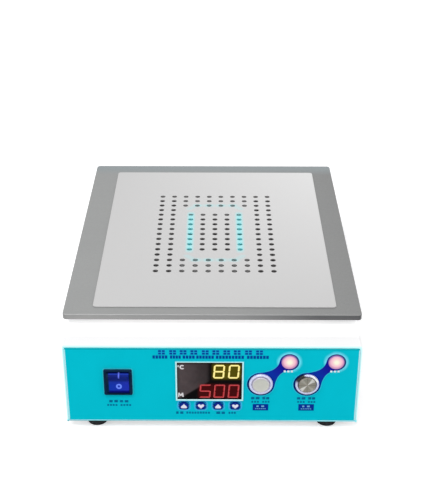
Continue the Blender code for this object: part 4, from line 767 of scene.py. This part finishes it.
def make_lamp(name):
    node = f"{name}_lamp"
    lamp, radius = middle_of(node), turned_radius(node)
    low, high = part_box(node)
    rise = (SEAT_Y - low.y) * 2 / 3
    dome = [(radius * math.sin(a), low.y + rise * (1 - math.cos(a)))
        for a in (math.radians(d) for d in range(6, 91, 6))]
    profile = [(0, low.y), *dome, (radius, SEAT_Y), (LAMP_STEM, SEAT_Y), (LAMP_STEM, LAMP_STEM_END),
        (LAMP_LEAD, LAMP_STEM_END), (LAMP_LEAD, high.y), (0, high.y)]
    turned(f"{name}_lens", profile, lamp, lamp_lens(f"{name} lamp lens", lamp), slot="lamp_lens",
        replaces=[node], smooth=SMOOTH)


def dumbbell(button, lamp, grow=0.0, steps=20):
    """The outline round a button, down a waisted neck and round its lamp."""
    ring_print, lamp_print = RING_PRINT + grow, LAMP_PRINT + grow
    run = Vector(lamp) - Vector(button)
    length = run.length
    along = run / length
    aside = Vector((-along.y, along.x))
    leave, meet = math.radians(NECK_LEAVE), math.radians(NECK_MEET)
    u0, v0 = ring_print * math.cos(leave), ring_print * math.sin(leave)
    u1, v1 = length + lamp_print * math.cos(meet), lamp_print * math.sin(meet)
    slope0, slope1 = -1 / math.tan(leave), -1 / math.tan(meet)
    span = u1 - u0
    neck = []
    for k in range(steps + 1):
        t = k / steps
        v = (2 * t**3 - 3 * t**2 + 1) * v0 + (t**3 - 2 * t**2 + t) * slope0 * span
        v += (3 * t**2 - 2 * t**3) * v1 + (t**3 - t**2) * slope1 * span
        neck.append((u0 + span * t, max(v, NECK_HALF_WIDTH + grow)))
    outline = neck + arc((length, 0.0), lamp_print, NECK_MEET, -NECK_MEET, 40)[1:-1]
    outline += [(u, -v) for u, v in reversed(neck)]
    outline += arc((0.0, 0.0), ring_print, -NECK_LEAVE, NECK_LEAVE - 360, 60)[1:-1]
    return [tuple(Vector(button) + u * along + v * aside) for u, v in outline]


def round_halo(name, centre, inner, outer, colour):
    """Light cyan that fades into the panel's own colour."""
    look = Look(name, specular=0.015)
    distance, _ = look.radial(centre)
    share = look.ease(distance, inner, outer)
    grain = look.spread(look.noise(200.0), *WIDE_GRAIN, -0.06, 0.06)
    share = look.math("ADD", share, grain, clamp=True)
    return look.finished(look.mix(share, colour, TEAL), (300.0, 0.40, 0.50))


def box_halo(name, centre, half_u, half_v, colour, power=3.2, start=0.42):
    """Light blue round a piece that fades into the panel's colour."""
    look = Look(name, specular=0.015)
    x, _, z = look.axes()
    du = look.math("DIVIDE", look.off(x, centre[0]), half_u)
    dv = look.math("DIVIDE", look.off(z, centre[1]), half_v)
    total = look.math("ADD", look.math("POWER", du, power), look.math("POWER", dv, power))
    share = look.ease(total, start, 0.98)
    return look.finished(look.mix(share, colour, TEAL), (300.0, 0.40, 0.50))


def neck_ink_and_lamp_light(name, button, lamp):
    """Navy ink, darker round the button, with painted lamp light: more violet near the lamp."""
    look = Look(name, specular=0.03)
    x, _, z = look.axes()
    run = Vector(lamp) - Vector(button)
    run /= run.length_squared
    share = look.math("ADD", look.product(look.math("SUBTRACT", x, button[0]), run.x),
        look.product(look.math("SUBTRACT", z, button[1]), run.y))
    base = look.mix(look.spread(share, 0.0, 0.42), (0.0008, 0.018, 0.130), (0.0020, 0.028, 0.360))
    # Painted lamp light: violet, then lavender, towards the lamp
    base = look.coats(base, (look.spread(share, 0.42, 0.75), (0.008, 0.006, 0.300)),
        (look.spread(share, 0.80, 1.10), (0.020, 0.055, 0.180)))
    return look.finished(base, (300.0, 0.35, 0.48))


title_ink = ink("title ink", INK)
title_glow = ink("title glow ink", (0.010, 0.430, 0.720))
label_ink = ink("label ink", LABEL_INK)
white_ink = ink("white ink", WHITE_INK)
pale_ink = ink("pale ink", PALE_INK)
navy_ink = ink("navy ink", (0.0016, 0.030, 0.300))
neck_glow = ink("neck glow ink", (0.040, 0.500, 0.700))

# Marks in place of words, in millimetres: under a lamp from its middle, and under a button from its x
LAMP_MARK = blocks(-10.9, -8.9, (-5.0, -3.2), (-1.7, 0.1), (1.6, 3.4))
LABEL = blocks(34.7, 37.3, (-8.7, -5.6), (-4.4, -0.9), (1.8, 4.5), (5.3, 8.2))
LABEL += dashes(30.9, 32.9, (-8.8, -1.0), (1.3, 8.9))
PLAQUE = blocks(21.9, 29.3, (-7.1, 7.5))
PLAQUE_MARK = blocks(25.9, 27.7, (-3.5, -1.5), (1.0, 3.6)) + dashes(23.5, 24.4, (-4.9, 5.4), pitch=1.7)

for name in ("heat", "vacuum"):
    make_button(name)
    make_lamp(name)
    button, lamp = [(x, z - PRINT_DROP) for x, z in map(middle_of, (f"{name}_button_body", f"{name}_lamp"))]
    for piece, title, centre, fade, colour, outer, inner in (
            ("lamp_halo", "halo", lamp, (0.0088, 0.0126), (0.17, 0.76, 0.94), 0.0128, 0.0070),
            ("button_halo", "glow", button, (0.0126, 0.0142), (0.04, 0.48, 0.74), 0.0144, 0.0100)):
        prints(f"{name}_{piece}", [], round_halo(f"{name} {title} ink", centre, *fade, colour), layer=1,
            rings=[(ring_points(centre, outer, TURNED_SIDES), ring_points(centre, inner, TURNED_SIDES))])
    prints(f"{name}_neck_glow", [dumbbell(button, lamp, NECK_GLOW)], neck_glow)
    prints(f"{name}_neck", [dumbbell(button, lamp)], neck_ink_and_lamp_light(f"{name} neck ink and lamp light", button, lamp), layer=2)
    prints(f"{name}_lamp_mark", shifted(LAMP_MARK, *lamp), white_ink, layer=3)
    prints(f"{name}_label", shifted(LABEL, button[0], 0.0), label_ink)
    prints(f"{name}_plaque", shifted(PLAQUE, button[0], 0.0), navy_ink)
    prints(f"{name}_plaque_mark", shifted(PLAQUE_MARK, button[0], 0.0), pale_ink, layer=1)


# Title and labels, with no lettering, and painted pale light along the panel's edges

TITLE_CENTRES = (-46.0, -35.8, -26.3, -16.5, -6.1, 3.5, 13.5, 23.0, 33.3, 43.3)
TITLE_WORDS = ((-54.6, -40.4), (-38.6, -28.2), (-27.0, -15.5), (-14.6, 2.0), (3.3, 29.5), (31.7, 52.2))
TITLE_ROWS = ((84.8, 86.7), (87.5, 89.4))
SWITCH_LABEL = blocks(30.7, 33.3, (-96.0, -92.8), (-91.2, -87.9), (-86.1, -83.1), (-81.5, -78.2))
SWITCH_LABEL += dashes(26.6, 28.6, (-98.5, -88.1), (-86.1, -75.2))
KEY_LABELS = blocks(17.6, 20.3, (-33.6, -31.4), (-29.8, -26.8), (4.2, 7.9), (9.1, 12.3))
KEY_LABELS += dashes(17.9, 20.1, (-24.4, -1.5), (15.3, 22.8))
MARGIN_EDGE = 0.0002
MARGIN_WIDTH = 0.0010

title_marks = [mark for x in TITLE_CENTRES for row in TITLE_ROWS
    for mark in blocks(*row, (x - 3.0, x - 0.4), (x + 0.4, x + 3.0))]
prints("title_marks", title_marks, title_ink, layer=1)
prints("title_glow", blocks(84.3, 89.9, *((x - 3.6, x + 3.6) for x in TITLE_CENTRES)), title_glow)
prints("title_words", dashes(80.2, 83.6, *TITLE_WORDS, pitch=2.9, filled=0.78), title_ink)
prints("switch_label", SWITCH_LABEL, label_ink)
prints("key_labels", KEY_LABELS, label_ink)

inner_left, inner_right = PANEL_LOW.x + MARGIN_WIDTH, PANEL_HIGH.x - MARGIN_WIDTH
inner_low, inner_high = PANEL_LOW.z + 0.8 * MARGIN_WIDTH, PANEL_HIGH.z - MARGIN_WIDTH
# Painted light: a pale cyan fringe along the panel's sides and bottom
prints("panel_edge_light", [
    rectangle(PANEL_LOW.x + MARGIN_EDGE, inner_low, inner_left, inner_high),
    rectangle(inner_right, inner_low, PANEL_HIGH.x - MARGIN_EDGE, inner_high),
    rectangle(inner_left, PANEL_LOW.z + MARGIN_EDGE, inner_right, inner_low),
], ink("panel edge light", (0.60, 0.94, 0.96), (0.52, 0.90, 0.93)))


# Power switch and mains inlet. A mark on the rocker is its centre and its half sizes

ROCKER_SHADE = 0.0015
ROCKER_MIDDLE = 0.0571
ROCKER_BLEND = 0.0022
ROCKER_LINE = 0.0650
ROCKER_FOOT = 0.0028
ROCKER_I = ((-0.0857, 0.0638), (0.0006, 0.0023))
ROCKER_O = ((-0.0860, 0.0506), (0.00275, 0.0030))
INLET_PIN = (0.00102, 0.00202)
INLET_PIN_FADE = 0.00004
INLET_PIN_LIFT = 0.0020
INLET_PIN_SPREAD = 0.0070
INLET_SOCKET_Z = middle_of("mains_inlet")[1] + 0.0055
SWITCH_REACH = 0.0014


def rocker_plastic():
    """Blue in bands, as light falls on the tipped rocker, with an I and an O on it."""
    look = Look("blue rocker plastic", specular=0.04)
    low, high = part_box("power_rocker")
    x, _, z = look.axes()
    across = look.spread(x, low.x, high.x)
    upper = look.mix(across, (0.0015, 0.008, 0.150), (0.002, 0.014, 0.205))
    lower = look.mix(across, (0.003, 0.034, 0.400), (0.014, 0.030, 0.440))
    middle = look.ease(z, ROCKER_MIDDLE - ROCKER_BLEND, ROCKER_MIDDLE + ROCKER_BLEND)
    (u, v), (half_u, half_v) = ROCKER_O
    from_o = look.length(look.math("DIVIDE", look.math("SUBTRACT", x, u), half_u),
        look.math("DIVIDE", look.math("SUBTRACT", z, v), half_v))
    base = look.coats(
        look.mix(middle, lower, upper),
        (look.spread(z, ROCKER_LINE, ROCKER_LINE + 0.0004), (0.0005, 0.003, 0.080)),
        (look.near(z, ROCKER_LINE, 0.0001, 0.0005), (0.012, 0.040, 0.400)),
        (look.below(z, low.z + ROCKER_FOOT, low.z + ROCKER_FOOT + 0.0006), (0.0005, 0.003, 0.156)),
        (look.below(x, low.x + ROCKER_SHADE, low.x + ROCKER_SHADE + 0.0005), (0.001, 0.016, 0.052)),
        (look.patch(x, z, *ROCKER_I, -0.0001, 0.0002), (0.120, 0.160, 0.760)),
        (look.near(from_o, 0.70, 0.24, 0.36), (0.156, 0.262, 0.980)))
    return look.finished(base, (400.0, 0.30, 0.42))


def inlet_plastic():
    """Black plastic, with nickel on the pins and tabs."""
    look = Look("mains inlet", specular=0.4)
    x, _, z = look.axes()
    middle = middle_of("mains_inlet")[0]
    pins = [look.patch(x, z, (middle + offset, INLET_SOCKET_Z + lift), INLET_PIN, 0.0, INLET_PIN_FADE)
        for offset, lift in ((-INLET_PIN_SPREAD, -INLET_PIN_LIFT), (0.0, INLET_PIN_LIFT),
            (INLET_PIN_SPREAD, -INLET_PIN_LIFT))]
    metal = look.math("MAXIMUM", look.math("MAXIMUM", pins[0], pins[1]), pins[2])
    look.put("Metallic", metal)
    return look.finished(look.mix(metal, look.tone(*BLACK_PLASTIC), (0.68, 0.67, 0.64)),
        (420.0, 0.32, 0.48))


def around(node, grow, corner):
    """The rounded outline of a node's front, larger on each side by so much."""
    low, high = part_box(node)
    return rounded(low.x - grow, low.z - grow, high.x + grow, high.z + grow, corner)


dress(nodes["power_rocker"], rocker_plastic())
dress(nodes["mains_inlet"], inlet_plastic())
dress(nodes["power_switch_body"], plain("switch bezel plastic", (0.0010, 0.0150, 0.048),
    (0.0016, 0.0190, 0.058), 200.0, (0.36, 0.48), specular=0.06))
low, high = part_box("power_switch_body")
# Painted light: lighter teal round the switch bezel, where shade falls round it
halo = box_halo("switch bezel painted light", middle_of("power_switch_body"), (high.x - low.x) / 2 + SWITCH_REACH,
    (high.z - low.z) / 2 + SWITCH_REACH, (0.05, 0.62, 0.76), power=14.0, start=0.20)
prints("switch_bezel_light", [], halo, rings=[(around("power_switch_body", SWITCH_REACH, 0.0020),
    around("power_switch_body", -SWITCH_REACH, 0.0004))])


# Display. A digit is its lit bars, its place, its width and its height

SLANT = 0.075
YELLOW_STROKE, RED_STROKE, MARK_STROKE = 0.0017, 0.0015, 0.0013
EIGHT, ZERO, FIVE = "abcdefg", "abcdef", "acdfg"
UPPER_DIGITS = ((EIGHT, 0.0008, 0.0582, 0.0104, 0.0153), (ZERO, 0.0146, 0.0582, 0.0102, 0.0153))
LOWER_DIGITS = ((FIVE, -0.0120, 0.0365, 0.0104, 0.0148), (ZERO, 0.0014, 0.0365, 0.0099, 0.0148),
    (ZERO, 0.0146, 0.0365, 0.0099, 0.0148))
DEGREE = (-0.0311, 0.0718)
LETTER_C = (-0.0274, 0.0708)
LETTER_M = ((-0.0311, 0.0373), (-0.0307, 0.0419), (-0.0290, 0.0385), (-0.0273, 0.0419), (-0.0269, 0.0373))
PANE_INSET = 0.0015
PANE_FLANGE = 0.0010
PANE_CORNER = 0.0004
BEZEL_WALL = 0.0017
BEZEL_SOFT_EDGE = 0.00025
BEZEL_CORNERS = (0.0009, 0.0003)


def emitter(name, colour, strength, other):
    look = Look(name, Roughness=0.35, Emission_Strength=strength, specular=0.05)
    tone = look.tone(colour, other, 500.0)
    look.put("Emission Color", tone)
    return look.finished(look.mix(0.85, tone, (0.01, 0.01, 0.01)), (500.0, 0.30, 0.42))


def smoked_window():
    """Smoked acrylic: a warm sheen over its upper left, a painted reflection, and the glow round the lit
    digits.
    """
    look = Look("smoked acrylic", Roughness=0.12, specular=0.03, Emission_Strength=1.0)
    x, _, z = look.axes()
    # Painted reflection: a warm sheen over the upper left, uneven in strength
    sheen_noise = look.spread(look.noise(120.0, detail=2.0), *WIDE_GRAIN, 0.85, 1.10)
    diagonal = look.math("ADD", look.product(look.math("ADD", x, 0.0245), 0.702), 0.0390)
    above = look.ease(look.math("SUBTRACT", z, diagonal), -0.0010, 0.0020)
    fade = look.ease(x, -0.0300, 0.0010, 1.0, 0.36)
    left = look.ease(x, -0.0325, -0.0285, 0.60, 1.0)
    top = look.ease(z, 0.0725, 0.0755, 1.0, 0.6)
    sheen = look.product(above, fade, left, top, sheen_noise, look.below(x, -0.0060, -0.0006, smooth=True))
    look.put("Base Color", look.mix(sheen, (0.0030, 0.0022, 0.0024), (0.084, 0.064, 0.067)))
    olive = look.patch(x, z, (0.0137, 0.0659), (0.0111, 0.0063), 0.0, 0.0042)
    red = look.patch(x, z, (0.0068, 0.0440), (0.0172, 0.0058), 0.0, 0.0040)
    look.put("Emission Color", look.coats((0.0, 0.0, 0.0), (olive, (0.080, 0.067, 0.0)),
        (red, (0.052, 0.0006, 0.0012))))
    return look.material


def segment_digit(bars, x, z, width, height, stroke):
    """The lit bars of a slanted seven-segment digit, with mitred ends."""
    half, notch, mid = stroke / 2, stroke * 0.12, z + height / 2
    left, right, bottom, top = x + half, x + width - half, z + half, z + height - half
    level = {"a": top, "g": mid, "d": bottom}
    upright = {"f": (left, mid, top), "b": (right, mid, top), "e": (left, bottom, mid),
        "c": (right, bottom, mid)}
    outlines = []
    for bar in bars:
        if bar in level:
            v = level[bar]
            points = [(left + notch, v), (left + half, v - half), (right - half, v - half),
                (right - notch, v), (right - half, v + half), (left + half, v + half)]
        else:
            u, v0, v1 = upright[bar]
            points = [(u, v0 + notch), (u + half, v0 + half), (u + half, v1 - half), (u, v1 - notch),
                (u - half, v1 - half), (u - half, v0 + half)]
        outlines.append([(u + (v - z) * SLANT, v) for u, v in points])
    return outlines


def lit(digits, stroke, inset=0.0):
    outlines = []
    for bars, x, z, width, height in digits:
        outlines += segment_digit(bars, x + inset, z + inset, width - 2 * inset, height - 2 * inset, stroke)
    return outlines


def thick_line(points, width=MARK_STROKE):
    """An open line with flat ends, as an outline."""
    left, right = [], []
    for k, point in enumerate(points):
        before, after = points[max(k - 1, 0)], points[min(k + 1, len(points) - 1)]
        run = (Vector(after) - Vector(before)).normalized()
        aside = Vector((-run.y, run.x)) * width / 2
        left.append(tuple(Vector(point) + aside))
        right.append(tuple(Vector(point) - aside))
    return left + right[::-1]


def make_window():
    """The pane with its flange, and the lit digits and unit marks in front of it."""
    pane, skirt = (around("display_window", grow, PANE_CORNER) for grow in (-PANE_INSET, 0.0))
    front, flange, rear = WINDOW_LOW.y, WINDOW_HIGH.y - PANE_FLANGE, WINDOW_HIGH.y
    skin("window_pane", [on_panel(pane, front), on_panel(pane, flange), on_panel(skirt, flange),
        on_panel(skirt, rear)], smoked_window(), capped=True, slot="smoked_window",
        replaces=["display_window"])

    yellow = emitter("yellow digits", (0.92, 0.74, 0.15), 0.90, (0.96, 0.82, 0.26))
    cream = emitter("yellow digit cores", (1.0, 0.88, 0.34), 0.95, (1.0, 0.92, 0.46))
    red = emitter("red digits", (0.36, 0.012, 0.016), 0.92, (0.44, 0.022, 0.028))
    edges = emitter("red digit edges", (0.56, 0.075, 0.085), 0.92, (0.64, 0.105, 0.115))
    white = emitter("white window marks", (0.80, 0.77, 0.80), 0.62, (0.90, 0.88, 0.90))
    prints("upper_digits", lit(UPPER_DIGITS, YELLOW_STROKE), yellow)
    prints("upper_digit_cores", lit(UPPER_DIGITS, 0.0006, 0.00055), cream, layer=1)
    prints("lower_digits", lit(LOWER_DIGITS, RED_STROKE), red)
    prints("lower_digit_edges", lit(LOWER_DIGITS, 0.0005, 0.0001), edges, layer=1)

    degree = (ring_points(DEGREE, 0.00100, 20), ring_points(DEGREE, 0.00040, 20))
    left, down, up, right = (thick_line(pair) for pair in zip(LETTER_M, LETTER_M[1:]))
    prints("window_unit_marks", [thick_line(arc(LETTER_C, 0.0018, 42, 318, 18)), left, right], white,
        rings=[degree])
    prints("window_unit_strokes", [down, up], white, layer=1)


def make_bezel():
    """The pale frame, with rounded edges."""
    wall, soft = BEZEL_WALL, BEZEL_SOFT_EDGE
    outer, inner = BEZEL_CORNERS
    front, edge, rear = BEZEL_LOW.y, BEZEL_LOW.y + soft, BEZEL_HIGH.y
    loops = [on_panel(around("display_bezel", -margin, corner), y) for margin, corner, y in (
        (0.0, outer, rear), (0.0, outer, edge), (soft, outer, front), (wall - soft, inner, front),
        (wall, inner, edge), (wall, inner, rear))]
    skin("bezel_frame", loops, SLOT_MATERIALS["pale_bezel"], closed=True, slot="pale_bezel",
        replaces=["display_bezel"])


make_window()
make_bezel()


# Keys. The front's edge is a few (depth, share of the size), and the part behind the panel (depth, growth)

KEY_HALF_U, KEY_HALF_V = 0.0045, 0.0036
KEY_POWER = 4.4
KEY_REAR = PANEL_Y + 0.0030
KEY_FRONT = ((0.0, 0.93), (0.00012, 0.975), (0.00040, 1.0))
KEY_BACK = ((0.0, 0.0), (0.0, 0.0008), (0.0010, 0.0008), (0.0010, -0.0022))
KEY_BORDER_LIFT = 0.0004
KEY_OPENING = 0.0005
KEY_BORDER = (0.0006, 0.0010)
KEY_HALO = 0.0019
UP_GLYPH = ((0.0, 2.7), (-2.9, -0.7), (-2.7, -1.7), (-1.8, -2.2), (1.8, -2.2), (2.7, -1.7), (2.9, -0.7))
DOWN_GLYPH = ((0.0, -2.6), (2.9, 0.4), (2.9, 1.6), (2.0, 2.4), (0.8, 2.2), (0.0, 1.1), (-0.8, 2.2),
    (-2.0, 2.4), (-2.9, 1.6), (-2.9, 0.4))


def make_key(name, plastic, glyph_ink):
    low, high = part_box(f"{name}_key")
    centre = middle_of(f"{name}_key")
    stem = KEY_BACK[-1][1]
    outlines = [(low.y + depth, KEY_HALF_U * share, KEY_HALF_V * share) for depth, share in KEY_FRONT]
    outlines += [(KEY_REAR + depth, KEY_HALF_U + grow, KEY_HALF_V + grow) for depth, grow in KEY_BACK]
    outlines.append((high.y, KEY_HALF_U + stem, KEY_HALF_V + stem))
    loops = [on_panel(squircle(centre, half_u, half_v, KEY_POWER), y) for y, half_u, half_v in outlines]
    skin(f"{name}_cap", loops, plastic, capped=True, body=name, slot="navy_plastic",
        replaces=[f"{name}_key"], smooth=SMOOTH)
    shape = [(u / 1000, v / 1000) for u, v in (UP_GLYPH if name.endswith("up") else DOWN_GLYPH)]
    prints(f"{name}_glyph", shifted([shape], *centre), glyph_ink, body=name, face=low.y)

    middle = (centre[0], centre[1] + KEY_BORDER_LIFT)
    opening = squircle(centre, KEY_HALF_U + KEY_OPENING, KEY_HALF_V + KEY_OPENING, KEY_POWER)
    half_u, half_v = KEY_HALF_U + KEY_BORDER[0], KEY_HALF_V + KEY_BORDER[1]
    border = squircle(middle, half_u, half_v, KEY_POWER)
    prints(f"{name}_border", [], key_border, layer=1, rings=[(border, opening)])
    half_u, half_v = half_u + KEY_HALO, half_v + KEY_HALO
    prints(f"{name}_halo", [], box_halo(f"{name} halo ink", middle, half_u, half_v, (0.060, 0.430, 0.860)),
        rings=[(squircle(middle, half_u, half_v), opening)])


key_plastic = plain("navy key plastic", (0.0010, 0.018, 0.215), (0.0014, 0.024, 0.250), 260.0, (0.32, 0.44),
    (2600.0, 0.05, 0.00003), specular=0.05)
key_glyph = ink("key glyph", (0.84, 0.82, 0.95))
key_border = ink("key border ink", (0.0012, 0.020, 0.250))
for name in ("temperature_up", "temperature_down", "time_up", "time_down"):
    make_key(name, key_plastic, key_glyph)


# Studio. A lamp is its name, its place, its sides and its power

FLOOR_HALF = 3.0
FLOOR_DROP = 0.0002
FLOOR_GLOW = (0.56, 0.90)
WORLD_FILL = 0.50
LAMP_AIM = (0.0, 0.0, 0.05)
LAMPS = (("key", (-0.7, -1.1, 2.1), (1.2, 1.2), 29.0), ("fill", (1.2, -0.9, 1.4), (1.4, 1.4), 6.5),
    ("front", (0.0, -1.7, 0.55), (1.0, 0.5), 1.0))


def studio_floor():
    """Pale floor. The camera sees it brighter away from the object, so that it ends in white."""
    look = Look("white floor", specular=0.0, Roughness=1.0)
    tone = look.tone((0.82, 0.82, 0.82), (0.81, 0.81, 0.815), 4.0)
    look.put("Base Color", tone)
    look.put("Emission Color", tone)
    length = look.add("ShaderNodeVectorMath", operation="LENGTH")
    look.link(look.place(), length.inputs[0])
    glow = look.ease(length.outputs["Value"], 0.25, 1.1, *FLOOR_GLOW)
    seen = look.add("ShaderNodeLightPath").outputs["Is Camera Ray"]
    look.put("Emission Strength", look.product(glow, seen))
    return look.material


def make_studio():
    bm = bmesh.new()
    corners = rectangle(-FLOOR_HALF, -FLOOR_HALF, FLOOR_HALF, FLOOR_HALF)
    bm.faces.new([bm.verts.new(p) for p in on_floor(corners, -FLOOR_DROP)])
    mesh = bpy.data.meshes.new("floor")
    bm.to_mesh(mesh)
    bm.free()
    mesh.materials.append(studio_floor())
    floor = bpy.data.objects.new("floor", mesh)
    bpy.context.scene.collection.objects.link(floor)

    world = bpy.data.worlds.new("studio")
    bpy.context.scene.world = world
    world.use_nodes = True
    tree = world.node_tree
    background = tree.nodes["Background"]
    background.inputs["Color"].default_value = (1.0, 1.0, 1.0, 1.0)
    rays = tree.nodes.new("ShaderNodeLightPath")
    seen = rays.outputs["Is Camera Ray"]
    for kind in ("Is Glossy Ray", "Is Transmission Ray"):
        either = tree.nodes.new("ShaderNodeMath")
        either.operation = "MAXIMUM"
        tree.links.new(seen, either.inputs[0])
        tree.links.new(rays.outputs[kind], either.inputs[1])
        seen = either.outputs[0]
    strength = tree.nodes.new("ShaderNodeMapRange")
    strength.inputs["To Min"].default_value = WORLD_FILL
    strength.inputs["To Max"].default_value = 1.0
    tree.links.new(seen, strength.inputs["Value"])
    tree.links.new(strength.outputs["Result"], background.inputs["Strength"])


def area_lamp(name, place, size, power):
    light = bpy.data.lights.new(name, "AREA")
    light.shape = "RECTANGLE"
    light.size, light.size_y = size
    light.energy = power
    lamp = bpy.data.objects.new(name, light)
    lamp.location = place
    lamp.rotation_mode = "QUATERNION"
    lamp.rotation_quaternion = (Vector(LAMP_AIM) - Vector(place)).to_track_quat("-Z", "Y")
    bpy.context.scene.collection.objects.link(lamp)


def make_camera():
    forward = Vector((math.sin(CAMERA_YAW) * math.cos(CAMERA_PITCH),
        math.cos(CAMERA_YAW) * math.cos(CAMERA_PITCH), -math.sin(CAMERA_PITCH)))
    level = Vector((math.cos(CAMERA_YAW), -math.sin(CAMERA_YAW), 0.0))
    above = level.cross(forward)
    right = level * math.cos(CAMERA_ROLL) + above * math.sin(CAMERA_ROLL)
    up = above * math.cos(CAMERA_ROLL) - level * math.sin(CAMERA_ROLL)
    data = bpy.data.cameras.new("camera")
    data.sensor_width = 36.0
    data.lens = CAMERA_LENS
    camera = bpy.data.objects.new("camera", data)
    turn = Matrix((right, up, -forward)).transposed().to_4x4()
    camera.matrix_world = Matrix.Translation(CAMERA_PLACE) @ turn
    bpy.context.scene.collection.objects.link(camera)
    bpy.context.scene.camera = camera


make_studio()
for lamp in LAMPS:
    area_lamp(*lamp)
make_camera()
bpy.context.scene.view_settings.view_transform = "Standard"
